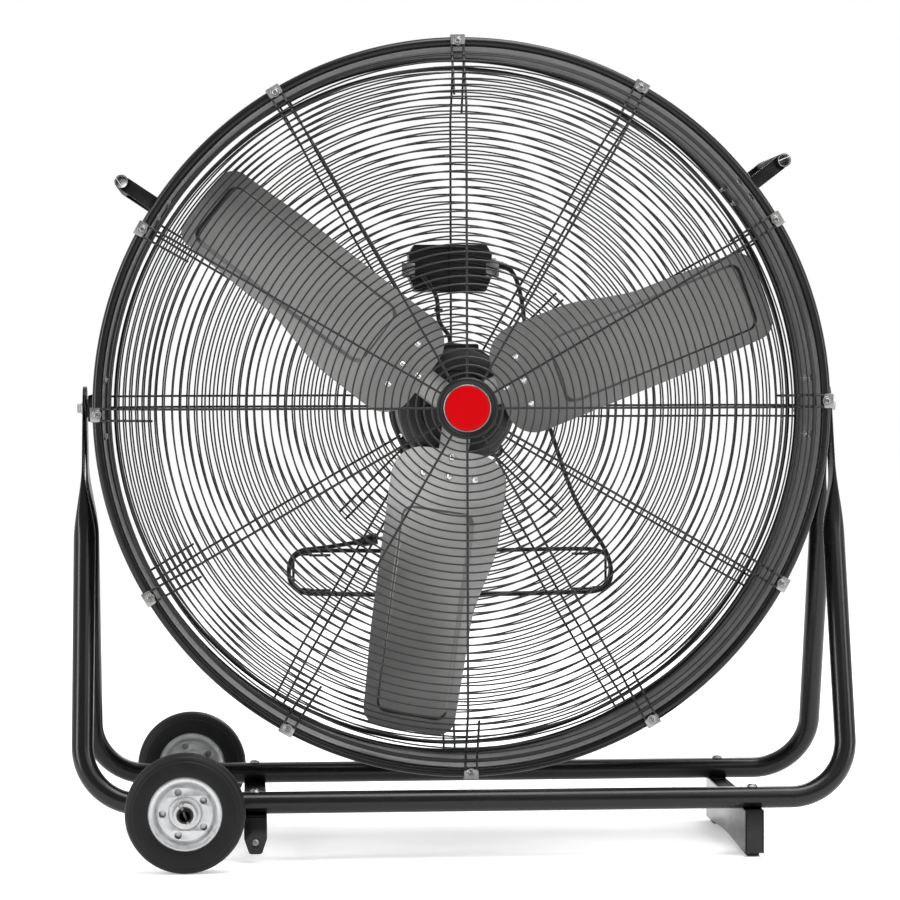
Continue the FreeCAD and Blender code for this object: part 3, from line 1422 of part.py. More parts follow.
def cord_route():
    """Supply cord: down from the box, then one and a half turns round the two hooks, to the plug."""
    height = mm("pivot_height")
    middle = height - mm("hook_drop")
    wrap = mm("hook_half_height") + mm("hook_wire_radius") + mm("cord_radius") + 0.1
    side = mm("hook_offset")
    first = 188.0
    step = 2 * mm("cord_radius") + 0.4
    points = [
        gland_start() + V(9.04, 0, 0),
        gland_start() + V(23, 0, -1.5),
        V(96, 202.5, height + 193),
        V(103, 201, height + 172),
        V(108, 198, height + 144),
        V(112, 194, height + 104),
        V(120, 190, height + 54),
        V(135, 188, height + 2),
        V(153, 188, height - 53),
        V(172, 188, height - 112),
        V(196, 188, height - 165),
    ]
    lap = [V(side + wrap, 0, middle + wrap * 0.6), V(side + wrap * 0.92, 0, middle - wrap),
           V(side - 42, 0, middle - wrap - 1), V(88, 0, middle - wrap - 3), V(0, 0, middle - wrap - 1.5),
           V(-86, 0, middle - wrap - 3.5), V(42 - side, 0, middle - wrap - 1),
           V(-side - wrap, 0, middle - wrap), V(-side - wrap, 0, middle + wrap)]
    high = middle + wrap
    top = [V(42 - side, 0, high + 1), V(-80, 0, high - 1), V(0, 0, high + 1.5),
           V(84, 0, high - 0.5), V(side - 40, 0, high + 1.5), V(side + wrap, 0, high)]
    last = [V(-side + 24, 0, middle + wrap + 4), V(-143, 0, middle + wrap + 11)]
    for corner in lap:
        points.append(corner + V(0, first, 0))
    for corner in top:
        points.append(corner + V(0, first + step, 0))
    for corner in lap[1:]:
        points.append(corner + V(0, first + 2 * step, 0))
    for corner in last:
        points.append(corner + V(0, first + 3 * step, 0))
    return points


def power_cord():
    points = cord_route()
    wire = route_wire(points, report="power_cord")
    cord = swept("cord_sweep", wire, dim("cord_radius"))
    node(cord, "power_cord")
    end = points[-1]
    heading = (points[-1] - points[-2]).normalize()
    plug = fuse("plug_fuse", [
        cylinder("plug_sleeve", 5, 12, end, heading),
        cylinder("plug_body", 9, 24, end + heading * 12, heading),
        cylinder("plug_pin_a", 2, 18, end + heading * 36 + V(0, -6, 0), heading),
        cylinder("plug_pin_b", 2, 18, end + heading * 36 + V(0, 6, 0), heading),
    ])
    node(plug, "cord_plug")


# ---------------------------------------------------------------- assembly and export


def build():
    drum_shell()
    pivot_brackets()
    wall_screws()
    handle_straps()
    handle_grips()
    guard_rings("front", -1, "front_first_ring")
    guard_rings("rear", 1, "rear_first_ring")
    guard_spokes("front", -1, 30.0)
    guard_spokes("rear", 1, 86.0, 112.0)
    guard_struts()
    guard_clips()
    guard_badge()
    motor_mount_plate()
    motor_housing()
    motor_stator()
    plate_screws = motor_fasteners()
    rotor()
    frame_tube("front_frame", -1, mm("tab_inner_face") + 1.5 * mm("tab_thickness"))
    frame_tube("rear_frame", 1, mm("tab_inner_face") + 0.5 * mm("tab_thickness"))
    left_brace()
    foot_bar()
    foot_pads()
    frame_screws()
    pivot_hardware()
    axle()
    wheel("front", -1)
    wheel("rear", 1)
    switch_box()
    glands()
    box_brackets()
    node(group("small_screws", [plate_screws, lid_screws()]), "box_and_motor_screws")
    switch_knob()
    terminal_cover()
    motor_lead()
    cord_hooks()
    power_cord()


def check_and_export():
    doc.recompute()
    for obj in doc.Objects:
        if {"Invalid", "Error"} & set(obj.State):
            raise RuntimeError("%s failed: %s" % (obj.Name, obj.State))
    for obj in NODES:
        shape = obj.Shape
        if shape.isNull() or not shape.isValid() or shape.Volume <= 0:
            raise RuntimeError("%s has no valid shape" % obj.Label)
    os.makedirs("parts", exist_ok=True)
    for obj in NODES:
        obj.Shape.exportStep("parts/%s.step" % obj.Label)
    print("%d sub-parts written" % len(NODES))


build()
check_and_export()
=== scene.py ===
"""Looks for the tilting drum fan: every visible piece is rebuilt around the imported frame.

Shapes are worked out in millimetres, as in the CAD source, and scaled to metres when a mesh is made.
The fan blows towards -Y, +Z is up, and the drum's axis is parallel to Y.
"""

import bmesh
import bpy
import math
from mathutils import Matrix, Vector


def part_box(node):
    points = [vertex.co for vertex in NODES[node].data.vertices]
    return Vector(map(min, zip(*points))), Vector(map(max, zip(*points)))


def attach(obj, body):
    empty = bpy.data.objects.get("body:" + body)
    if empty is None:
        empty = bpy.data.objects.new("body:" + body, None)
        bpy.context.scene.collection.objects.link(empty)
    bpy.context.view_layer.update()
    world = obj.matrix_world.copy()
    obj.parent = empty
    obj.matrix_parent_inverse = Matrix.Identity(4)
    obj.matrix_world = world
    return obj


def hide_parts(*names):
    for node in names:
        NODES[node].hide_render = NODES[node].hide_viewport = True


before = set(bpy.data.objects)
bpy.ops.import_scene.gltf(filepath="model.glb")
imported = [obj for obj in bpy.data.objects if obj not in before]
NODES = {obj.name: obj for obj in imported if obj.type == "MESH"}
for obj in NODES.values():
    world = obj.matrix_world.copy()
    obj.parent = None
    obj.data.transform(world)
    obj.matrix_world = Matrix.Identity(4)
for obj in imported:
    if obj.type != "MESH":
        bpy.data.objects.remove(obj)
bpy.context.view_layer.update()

MM = 0.001


def span(node, axis):
    """Lowest and highest coordinate of a CAD node along an axis, in millimetres."""
    low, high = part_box(node)
    return low[axis] / MM, high[axis] / MM


# ---------------------------------------------------------------- sizes, from the frame

AXIS_HEIGHT = sum(span("motor_shell", 2)) / 2
DRUM_REACH = span("drum_shell", 0)[1]
BEAD = 7.0
WALL_RADIUS = DRUM_REACH - BEAD
WALL_SHEET = 1.5
HALF_DEPTH = span("drum_shell", 1)[1] - BEAD
MOTOR_RADIUS = span("motor_shell", 0)[1]
MOTOR_FRONT = span("motor_front_bell", 1)[0]
MOTOR_BACK = span("motor_rear_bell", 1)[1]
MOUNT_CIRCLE = 91.0
BLADE_TIP = 464.0
TUBE = 15.0
TUBE_HEIGHT = span("front_frame", 2)[0] + TUBE
STANCE = -span("front_frame", 1)[0] - TUBE
WHEEL_RADIUS = span("front_wheel_tyre", 2)[1] / 2
WHEEL_X = sum(span("front_wheel_tyre", 0)) / 2
WHEEL_Y = sum(span("rear_wheel_tyre", 1)) / 2
WHEEL_HALF = (span("rear_wheel_tyre", 1)[1] - span("rear_wheel_tyre", 1)[0]) / 2
BRACE_X, FOOT_X, CROSSBAR_HALF = -289.0, 390.0, 187.0

# ---------------------------------------------------------------- camera, light and floor


def add(obj):
    bpy.context.scene.collection.objects.link(obj)
    return obj


def aim_camera():
    yaw, pitch, roll = 0.063, -0.024, -0.003
    ahead = Vector((math.sin(yaw) * math.cos(pitch), math.cos(yaw) * math.cos(pitch), math.sin(pitch)))
    right = ahead.cross(Vector((0, 0, 1))).normalized()
    up = right.cross(ahead)
    turned = right * math.cos(roll) + up * math.sin(roll)
    top = turned.cross(ahead)
    data = bpy.data.cameras.new("camera")
    data.lens = 127.994
    data.sensor_width = 36.0
    camera = add(bpy.data.objects.new("camera", data))
    basis = Matrix((turned, top, -ahead)).transposed().to_4x4()
    camera.matrix_world = Matrix.Translation((-0.2966, -4.5, 0.6617)) @ basis
    bpy.context.scene.camera = camera


def softbox(name, place, target, width, height, power):
    data = bpy.data.lights.new(name, "AREA")
    data.shape = "RECTANGLE"
    data.size = width
    data.size_y = height
    data.energy = power
    light = add(bpy.data.objects.new(name, data))
    aim = Vector(target) - Vector(place)
    light.matrix_world = Matrix.Translation(place) @ aim.to_track_quat("-Z", "Y").to_matrix().to_4x4()


def studio():
    world = bpy.data.worlds.new("studio")
    bpy.context.scene.world = world
    world.use_nodes = True
    background = world.node_tree.nodes["Background"]
    background.inputs["Color"].default_value = (1, 1, 1, 1)
    direction = world.node_tree.nodes.new("ShaderNodeTexCoord")
    parts = world.node_tree.nodes.new("ShaderNodeSeparateXYZ")
    fade = world.node_tree.nodes.new("ShaderNodeMapRange")
    for key, value in (("From Min", -0.75), ("From Max", 0.55), ("To Min", 0.42), ("To Max", 1.0)):
        fade.inputs[key].default_value = value
    fade.interpolation_type = "SMOOTHSTEP"
    link = world.node_tree.links.new
    link(direction.outputs["Generated"], parts.inputs["Vector"])
    link(parts.outputs["Y"], fade.inputs["Value"])
    link(fade.outputs["Result"], background.inputs["Strength"])
    bpy.context.scene.view_settings.view_transform = "Standard"
    softbox("left", (-2.9, -1.4, 1.5), (0, 0, 0.6), 0.7, 2.6, 62)
    softbox("right", (2.9, -1.4, 1.5), (0, 0, 0.6), 0.7, 2.6, 40)
    softbox("top", (0.5, -0.6, 3.3), (0, 0, 0.6), 2.4, 1.4, 90)
    softbox("key", (1.6, -2.2, 2.7), (-0.2, 0, 0.7), 2.0, 2.0, 30)
    softbox("rear", (1.2, 3.2, 2.4), (0, 0, 0.6), 2.0, 1.6, 50)
    mesh = bpy.data.meshes.new("floor")
    bm = bmesh.new()
    bmesh.ops.create_circle(bm, cap_ends=True, segments=96, radius=40.0)
    bm.to_mesh(mesh)
    bm.free()
    floor = add(bpy.data.objects.new("floor", mesh))
    white = coating("floor_white", (0.93, 0.93, 0.93), 1.0, specular=0.0, variation=0.0, relief=0.0)
    shader = white.node_tree.nodes["Principled BSDF"]
    shader.inputs["Emission Color"].default_value = (1, 1, 1, 1)
    shader.inputs["Emission Strength"].default_value = 0.32
    mesh.materials.append(white)


# ---------------------------------------------------------------- materials


def coating(name, base, rough, metallic=0.0, specular=0.5, coat=0.0, variation=0.1, patch=7.0,
            grain=900.0, relief=0.3, sweep=0.06, stretch=(1, 1, 1), wear=None):
    """Principled finish whose colour, gloss and fine relief vary over the surface."""
    material = bpy.data.materials.new(name)
    material.use_nodes = True
    tree = material.node_tree
    link = tree.links.new

    def make(kind, **values):
        made = tree.nodes.new("ShaderNode" + kind)
        for key, value in values.items():
            made.inputs[key.replace("_", " ")].default_value = value
        return made

    shader = tree.nodes["Principled BSDF"]
    shader.inputs["Metallic"].default_value = metallic
    shader.inputs["Specular IOR Level"].default_value = specular
    shader.inputs["Coat Weight"].default_value = coat
    shader.inputs["Coat Roughness"].default_value = 0.12
    where = make("TexCoord")
    scaled = make("Mapping", Scale=stretch)
    link(where.outputs["Object"], scaled.inputs["Vector"])
    patches = make("TexNoise", Scale=patch, Detail=5.0, Roughness=0.6)
    link(scaled.outputs["Vector"], patches.inputs["Vector"])
    ramp = make("ValToRGB")
    link(patches.outputs["Fac"], ramp.inputs["Fac"])
    stops = ramp.color_ramp.elements
    stops[0].position = 0.32
    stops[1].position = 0.68
    stops[0].color = (*(c * (1 - variation) for c in base), 1)
    stops[1].color = (*(c * (1 + variation) for c in base), 1)
    colour = ramp.outputs["Color"]
    if wear:
        spots = make("TexNoise", Scale=wear[1], Detail=8.0, Roughness=0.75)
        link(where.outputs["Object"], spots.inputs["Vector"])
        mask = make("MapRange", From_Min=wear[2], From_Max=wear[2] + 0.05)
        link(spots.outputs["Fac"], mask.inputs["Value"])
        mixed = tree.nodes.new("ShaderNodeMix")
        mixed.data_type = "RGBA"
        link(mask.outputs["Result"], mixed.inputs["Factor"])
        link(colour, mixed.inputs[6])
        mixed.inputs[7].default_value = (*wear[0], 1)
        colour = mixed.outputs[2]
    link(colour, shader.inputs["Base Color"])
    gloss = make("MapRange", From_Min=0.3, From_Max=0.7, To_Min=max(rough - sweep, 0.02),
                 To_Max=min(rough + sweep, 1.0))
    link(patches.outputs["Fac"], gloss.inputs["Value"])
    link(gloss.outputs["Result"], shader.inputs["Roughness"])
    if relief:
        fine = make("TexNoise", Scale=grain, Detail=3.0, Roughness=0.55)
        link(scaled.outputs["Vector"], fine.inputs["Vector"])
        bump = make("Bump", Strength=relief, Distance=0.0002)
        link(fine.outputs["Fac"], bump.inputs["Height"])
        link(bump.outputs["Normal"], shader.inputs["Normal"])
    return material


LOOKS = {
    "black_powder_coat": coating("black_powder_coat", (0.0035, 0.0035, 0.0038), 0.25, specular=0.3,
                                 grain=1500, relief=0.12, wear=((0.02, 0.02, 0.02), 60.0, 0.72)),
    # The drum wall's coat below is a lighter grey-black than the beads' black, though wall and beads are one
    # painted sheet: its lighter base is painted light, for the light that the inner wall catches.
    "drum_coat": coating("drum_coat", (0.016, 0.016, 0.017), 0.46, specular=0.4, grain=1300,
                         relief=0.15, variation=0.15),
    "guard_wire": coating("guard_wire", (0.007, 0.007, 0.0075), 0.36, specular=0.4, grain=1800,
                          relief=0.1),
    "zinc": coating("zinc", (0.26, 0.26, 0.256), 0.32, metallic=0.9, patch=60.0, variation=0.16,
                    grain=1600, relief=0.25, sweep=0.1),
    "blade_aluminium": coating("blade_aluminium", (0.15, 0.149, 0.147), 0.33, metallic=0.8,
                               patch=5.0, variation=0.12, grain=500, relief=0.1),
    "rivet": coating("rivet", (0.62, 0.62, 0.62), 0.26, metallic=1.0, patch=80.0),
    "cast_spider": coating("cast_spider", (0.26, 0.255, 0.25), 0.5, metallic=0.55, patch=40.0,
                           grain=700, relief=0.6),
    "shaft_steel": coating("shaft_steel", (0.45, 0.45, 0.45), 0.3, metallic=1.0, patch=50.0),
    "lamination": coating("lamination", (0.2, 0.2, 0.2), 0.45, metallic=0.8, stretch=(1, 40, 1)),
    "copper": coating("copper", (0.6, 0.24, 0.1), 0.35, metallic=1.0, grain=500, relief=0.6),
    "motor_paint": coating("motor_paint", (0.008, 0.008, 0.008), 0.4, specular=0.4, grain=800,
                           relief=0.3),
    "badge_plate": coating("badge_plate", (0.004, 0.004, 0.004), 0.34, specular=0.25, coat=0.05,
                           relief=0.03),
    "badge_red": coating("badge_red", (0.375, 0.0002, 0.0018), 0.34, specular=0.05,
                         variation=0.03, relief=0.03),
    "galvanised": coating("galvanised", (0.47, 0.475, 0.48), 0.4, metallic=0.85, patch=90.0,
                          variation=0.14, grain=900, relief=0.25, sweep=0.12),
    "tyre": coating("tyre", (0.0055, 0.0055, 0.006), 0.5, specular=0.17, patch=25.0, variation=0.25,
                    grain=900, relief=0.45),
    "foot_rubber": coating("foot_rubber", (0.012, 0.012, 0.012), 0.75, specular=0.3, grain=600,
                           relief=0.5),
    "matt_black": coating("matt_black", (0.0045, 0.0045, 0.0048), 0.6, specular=0.15, grain=1200,
                          relief=0.1),
    "hub_steel": coating("hub_steel", (0.42, 0.42, 0.42), 0.35, metallic=0.9, patch=60.0),
    "box_paint": coating("box_paint", (0.005, 0.005, 0.005), 0.42, specular=0.35, grain=900,
                         relief=0.35),
    "black_plastic": coating("black_plastic", (0.01, 0.01, 0.01), 0.45, specular=0.45, grain=1100,
                             relief=0.25),
    "white_plastic": coating("white_plastic", (0.75, 0.75, 0.73), 0.4, relief=0.1),
    "cord_jacket": coating("cord_jacket", (0.011, 0.011, 0.011), 0.5, specular=0.4, grain=700,
                           relief=0.25),
    "spacer": coating("spacer", (0.02, 0.02, 0.02), 0.5, relief=0.2),
}


# ---------------------------------------------------------------- geometry kit


class Geo:
    """Points in millimetres and the faces between them."""

    def __init__(self, points=(), faces=()):
        self.points = [Vector(p) for p in points]
        self.faces = [tuple(f) for f in faces]

    def add(self, other):
        base = len(self.points)
        self.points += other.points
        self.faces += [tuple(i + base for i in f) for f in other.faces]
        return self

    def at(self, matrix):
        return Geo([matrix @ p for p in self.points], self.faces)


def together(parts):
    whole = Geo()
    for part in parts:
        whole.add(part)
    return whole


def skin(rings, loop=False, caps=True):
    """Surface through rings that have the same number of points."""
    count = len(rings[0])
    geo = Geo([p for ring in rings for p in ring])
    total = len(rings)
    for i in range(total if loop else total - 1):
        a, b = i * count, (i + 1) % total * count
        for j in range(count):
            k = (j + 1) % count
            geo.faces.append((a + j, a + k, b + k, b + j))
    if caps and not loop:
        geo.faces.append(tuple(reversed(range(count))))
        geo.faces.append(tuple((total - 1) * count + j for j in range(count)))
    return geo


def lathe(profile, segments=96):
    """Solid of revolution about local Z: profile is a closed list of (radius, height)."""
    rings = [[Vector((r * x, r * y, h)) for r, h in profile] for x, y in circle(0, 0, 1, segments)]
    return skin(rings, loop=True)


def dish(profile, segments=64):
    """Solid of revolution whose profile starts and ends on the axis."""
    inner = profile[1:-1]
    geo = lathe(inner, segments)
    count = len(inner)
    geo.faces = [f for f in geo.faces if not ({0, count - 1} <= {i % count for i in f})]
    low, high = len(geo.points), len(geo.points) + 1
    geo.points += [Vector((0, 0, profile[0][1])), Vector((0, 0, profile[-1][1]))]
    for i in range(segments):
        a, b = i * count, (i + 1) % segments * count
        geo.faces.append((low, b, a))
        geo.faces.append((high, a + count - 1, b + count - 1))
    return geo


def rounded(corners, radius, steps=4):
    """Closed outline with its corners replaced by arcs."""
    result = []
    count = len(corners)
    for i in range(count):
        before, here, after = (Vector(corners[(i + k) % count]) for k in (-1, 0, 1))
        amount = radius[i] if isinstance(radius, (list, tuple)) else radius
        leg_in, leg_out = before - here, after - here
        angle = leg_in.angle(leg_out)
        reach = amount / math.tan(angle / 2)
        if amount < 1e-6 or angle > 3.1:
            result.append(tuple(here))
            continue
        reach = min(reach, 0.49 * leg_in.length, 0.49 * leg_out.length)
        start, end = here + leg_in.normalized() * reach, here + leg_out.normalized() * reach
        for k in range(steps + 1):
            t = k / steps
            flat = start * (1 - t) ** 2 + here * 2 * t * (1 - t) + end * t * t
            result.append(tuple(flat))
    return result


def circle(x, y, radius, count=24):
    return [(x + radius * math.cos(2 * math.pi * i / count), y + radius * math.sin(2 * math.pi * i / count))
            for i in range(count)]


def level_ring(radius, height, count):
    return [Vector((x, y, height)) for x, y in circle(0, 0, radius, count)]


def plate(outline, thickness, holes=(), bevel=0.5):
    """Plate of an outline with holes, its front face at local z = thickness and its edges eased."""
    curve = bpy.data.curves.new("outline", "CURVE")
    curve.dimensions = "2D"
    curve.fill_mode = "BOTH"
    curve.extrude = thickness / 2 - bevel
    curve.bevel_depth = bevel
    curve.bevel_resolution = 1
    curve.offset = -bevel
    for loop in (outline, *holes):
        spline = curve.splines.new("POLY")
        spline.points.add(len(loop) - 1)
        for spot, (x, y) in zip(spline.points, loop):
            spot.co = (x, y, 0, 1)
        spline.use_cyclic_u = True
    holder = bpy.data.objects.new("outline", curve)
    mesh = bpy.data.meshes.new_from_object(holder)
    bm = bmesh.new()
    bm.from_mesh(mesh)
    bmesh.ops.remove_doubles(bm, verts=bm.verts, dist=0.01)
    geo = Geo([v.co + Vector((0, 0, thickness / 2)) for v in bm.verts],
              [[v.index for v in f.verts] for f in bm.faces])
    bm.free()
    bpy.data.objects.remove(holder)
    bpy.data.curves.remove(curve)
    bpy.data.meshes.remove(mesh)
    return geo


def block(low, high, bevel=1.0, steps=2):
    """Box between two corners with rounded edges."""
    bm = bmesh.new()
    bmesh.ops.create_cube(bm, size=1.0)
    for v in bm.verts:
        v.co = Vector([low[i] + (v.co[i] + 0.5) * (high[i] - low[i]) for i in range(3)])
    bmesh.ops.bevel(bm, geom=bm.edges[:], offset=bevel, segments=steps, profile=0.5, affect="EDGES")
    bm.verts.index_update()
    geo = Geo([v.co for v in bm.verts], [[v.index for v in f.verts] for f in bm.faces])
    bm.free()
    return geo


def tube(points, radius, sides=12, loop=False):
    """Round bar along a path; radius is one number or a number for each point."""
    path = [Vector(p) for p in points]
    total = len(path)
    radii = radius if isinstance(radius, (list, tuple)) else [radius] * total
    rings = []
    side = None
    for i, here in enumerate(path):
        before = path[i - 1] if i or loop else here
        after = path[(i + 1) % total] if i < total - 1 or loop else here
        heading = (after - before).normalized()
        if side is None:
            side = heading.orthogonal().normalized()
        side = (side - heading * side.dot(heading)).normalized()
        other = heading.cross(side)
        rings.append([here + (side * math.cos(a) + other * math.sin(a)) * radii[i]
                      for a in (2 * math.pi * k / sides for k in range(sides))])
    return skin(rings, loop=loop)


def bent(points, radius, steps=6):
    """Path with its corners bent to a radius."""
    path = [Vector(p) for p in points]
    result = [path[0]]
    for before, here, after in zip(path, path[1:], path[2:]):
        leg_in, leg_out = before - here, after - here
        angle = leg_in.angle(leg_out)
        reach = min(radius / math.tan(angle / 2), 0.48 * leg_in.length, 0.48 * leg_out.length)
        start, end = here + leg_in.normalized() * reach, here + leg_out.normalized() * reach
        for k in range(steps + 1):
            t = k / steps
            result.append(start * (1 - t) ** 2 + here * 2 * t * (1 - t) + end * t * t)
    result.append(path[-1])
    return result


def cross_screw(radius, height, sides=40, rows=12):
    """Round head with a cross recess, on the local z = 0 plane."""
    slot_half, slot_reach, slot_depth = radius * 0.13, radius * 0.62, height * 0.6
    rings = [level_ring(radius, -0.4, sides)]
    for row in range(rows):
        share = 1 - row / rows
        ring = []
        for x, y in circle(0, 0, radius * share, sides):
            z = height * math.sqrt(max(0.0, 1 - (share * 0.96) ** 2.6))
            near, far = min(abs(x), abs(y)), max(abs(x), abs(y))
            edge = max(near - slot_half, far - slot_reach) / (radius * 0.1)
            z -= slot_depth * min(1.0, max(0.0, 0.5 - edge))
            ring.append(Vector((x, y, max(z, 0.0))))
        rings.append(ring)
    return skin(rings)


def hex_head(radius, height):
    """Hexagonal head or nut with a chamfered top."""
    levels = ((radius, 0), (radius, height * 0.82), (radius * 0.86, height))
    return skin([level_ring(r, z, 6) for r, z in levels])


def dome(radius, height, sides=24, rows=6):
    """Smooth round head on the local z = 0 plane."""
    profile = [(0, -0.3), (radius, -0.3)]
    for k in range(rows + 1):
        a = math.pi / 2 * k / rows
        profile.append((max(radius * math.cos(a), 0.001), height * math.sin(a)))
    profile[-1] = (0, height)
    return dish(profile, sides)


def piece(name, parts, body, slot, replaces=(), look=None, sharp=34.0):
    """Mesh object made from one Geo or a list, riding on a body and standing for CAD nodes."""
    geo = together(parts) if isinstance(parts, list) else parts
    mesh = bpy.data.meshes.new(name)
    mesh.from_pydata([p * MM for p in geo.points], [], geo.faces)
    bm = bmesh.new()
    bm.from_mesh(mesh)
    bmesh.ops.recalc_face_normals(bm, faces=bm.faces)
    bm.to_mesh(mesh)
    bm.free()
    mesh.shade_smooth()
    mesh.set_sharp_from_angle(angle=math.radians(sharp))
    mesh.materials.append(LOOKS[look or slot])
    obj = add(bpy.data.objects.new(name, mesh))
    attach(obj, body)
    if replaces:
        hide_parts(*replaces)
    return obj


def shift(x, y=0, z=0):
    return Matrix.Translation((x, y, z))


def turn(degrees, axis):
    return Matrix.Rotation(math.radians(degrees), 4, axis)


def along(axis):
    return Vector(axis).to_track_quat("Z", "Y").to_matrix().to_4x4()


FRONT = turn(90, "X")  # local x, y, z become X, Z and -Y
BACK = turn(180, "Z") @ FRONT  # local x, y, z become -X, Z and +Y
AXIS = shift(0, 0, AXIS_HEIGHT)


def about_drum(bearing):
    """Turns a shape drawn above the drum's axis clockwise, seen from the front."""
    return AXIS @ turn(bearing, "Y")


def drum_point(bearing, radius, station):
    angle = math.radians(bearing)
    return Vector((radius * math.sin(angle), station, AXIS_HEIGHT + radius * math.cos(angle)))


def outward(bearing):
    """Direction away from the drum's axis."""
    return Vector((math.sin(math.radians(bearing)), 0, math.cos(math.radians(bearing))))


def on_axis(station, sign=1):
    """Local Z runs along the drum's axis from a station, towards +Y or -Y."""
    return shift(0, station, AXIS_HEIGHT) @ along((0, sign, 0))


# ---------------------------------------------------------------- drum


def drum():
    inner, outer = WALL_RADIUS - WALL_SHEET, WALL_RADIUS
    wall = [(inner, -HALF_DEPTH), (outer, -HALF_DEPTH), (outer, HALF_DEPTH), (inner, HALF_DEPTH)]
    piece("drum_wall", lathe(wall, 240).at(on_axis(0)), "drum", "drum_coat", ["drum_shell"])
    beads = [wire_ring(WALL_RADIUS, BEAD, 28, 240).at(on_axis(sign * HALF_DEPTH)) for sign in (-1, 1)]
    # The beads are rolled from the wall's own painted sheet, yet they get the black coat while the wall gets
    # the lighter one: the wall's lighter colour is painted light, and the beads' black is the paint itself.
    piece("drum_beads", beads, "drum", "drum_coat", look="black_powder_coat")


def handle_bearing(side):
    """The pair of grips is set slightly anticlockwise of symmetry."""
    return side * 54.5 - 1.9


def wall_screw_sites():
    """Bearing and station of each screw through the wall, for the brackets and for the straps."""
    rise = math.degrees(math.asin(40.0 / WALL_RADIUS))
    brackets = [(side * 90 + tilt * rise, station) for side in (-1, 1) for tilt in (-1, 1)
                for station in (-18.0, 18.0)]
    straps = [(handle_bearing(side) + spread * 1.5, end * 74.0) for side in (-1, 1) for spread in (-1, 1)
              for end in (-1, 1)]
    return brackets, straps


def wall_screws():
    head = cross_screw(6.0, 3.2)
    nut = hex_head(5.4, 4.2)
    ridges = [(2.4 + 0.35 * (k % 2), 0.6 * k) for k in range(15)]
    thread = lathe([(0.4, 0)] + ridges + [(1.6, 9.2), (0.4, 9.2)], 16)
    strap_sheet = 3.0
    for name, sites in zip(("bracket_screws", "strap_screws"), wall_screw_sites()):
        heads = []
        for bearing, station in sites:
            seat = drum_point(bearing, WALL_RADIUS - WALL_SHEET, station)
            inside = shift(*seat) @ along(outward(bearing) * -1)
            outer = drum_point(bearing, WALL_RADIUS + strap_sheet, station)
            heads += [nut.at(inside), thread.at(inside), head.at(shift(*outer) @ along(outward(bearing)))]
        piece(name + "_visual", heads, "drum", "zinc", [name])


def pivot_brackets():
    """Hat-shaped plates on the drum's sides, their channels closed at both ends."""
    crown, sheet, end_sheet = 518.6, 3.0, 2.0
    half_web, half_height, half_width = 18.0, 56.0, 30.0
    hats = []
    feet = WALL_RADIUS + 0.1
    for sign in (-1, 1):
        foot = WALL_RADIUS * math.cos(math.asin(half_height / WALL_RADIUS))
        outline = [(foot, -half_height), (foot + sheet, -half_height), (feet + 2.6, -half_web - 4),
                   (crown, -half_web), (crown, half_web), (feet + 2.6, half_web + 4),
                   (foot + sheet, half_height), (foot, half_height), (feet - 1.4, half_web + 1),
                   (crown - sheet, half_web - 3), (crown - sheet, 3 - half_web), (feet - 1.4, -half_web - 1)]
        if sign < 0:
            outline = [(-x, y) for x, y in reversed(outline)]
        hats.append(plate(rounded(outline, 1.6), 2 * half_width, bevel=0.5)
                    .at(shift(0, half_width, AXIS_HEIGHT) @ FRONT))
        end = [(feet - 1, -half_web - 1), (crown - 1, -half_web), (crown - 1, half_web),
               (feet - 1, half_web + 1)]
        end = [(sign * x, y) for x, y in end][::sign]
        for station in (end_sheet - half_width, half_width):
            hats.append(plate(end, end_sheet, bevel=0.3).at(shift(0, station, AXIS_HEIGHT) @ FRONT))
    piece("pivot_hats", hats, "drum", "black_powder_coat", ["pivot_brackets"])


def slotted_ring(radius):
    """Points of a circle that a narrow slot leaves open at its top."""
    gap = 0.075
    return [(radius * math.sin(a), radius * math.cos(a)) for a in
            (gap + (2 * math.pi - 2 * gap) * k / 40 for k in range(41))]


def handles():
    """Rolled grip tubes, bright inside, on two straps each."""
    reach, grip, seat, sheet = 562.0, 9.5, WALL_RADIUS, 3.0
    half, strap_station, grip_half = 9.5, 86.0, 96.0
    rest = math.sqrt(grip ** 2 - 16)
    saddle = [(grip * math.sin(a), reach - grip * math.cos(a)) for a in
              (math.atan2(rest, 4) * (1 - k / 8) for k in range(17))]
    outline = [(-half, seat + 1), (half, seat + 1), (half, reach - 4)] + saddle + [(-half, reach - 4)]
    strap = plate(outline, sheet, bevel=0.3).at(shift(0, sheet / 2) @ FRONT)
    foot = block((-20, 0, seat + 0.2), (20, 22, seat + sheet), 1.2)
    bend = tube([(-half + 0.5, 1.5, seat + 1.6), (half - 0.5, 1.5, seat + 1.6)], 1.5, 12)
    master = together([strap, foot, bend])
    straps = []
    for side in (-1, 1):
        for end, flip in ((-1, 0), (1, 180)):
            place = about_drum(handle_bearing(side)) @ shift(0, end * strap_station) @ turn(flip, "Z")
            straps.append(master.at(place))
    piece("strap_plates", straps, "drum", "black_powder_coat", ["handle_straps"])
    outer, inner, bore = (slotted_ring(grip - depth) for depth in (0, 1.0, 1.6))
    section = plate(outer + list(reversed(inner)), 2 * grip_half, bevel=0.3)
    lining = plate(inner + list(reversed(bore)), 2 * grip_half - 0.6, bevel=0.15)
    for name, side in (("left", -1), ("right", 1)):
        place = about_drum(handle_bearing(side))
        bar = section.at(place @ shift(0, grip_half, reach) @ FRONT)
        piece("grip_tube_" + name, bar, "drum", "black_powder_coat", ["handle_grip_" + name],
              look="matt_black")
        inside = lining.at(place @ shift(0, grip_half - 0.3, reach) @ FRONT)
        piece("grip_lining_" + name, inside, "drum", "black_powder_coat", look="galvanised")


# ---------------------------------------------------------------- wire guards

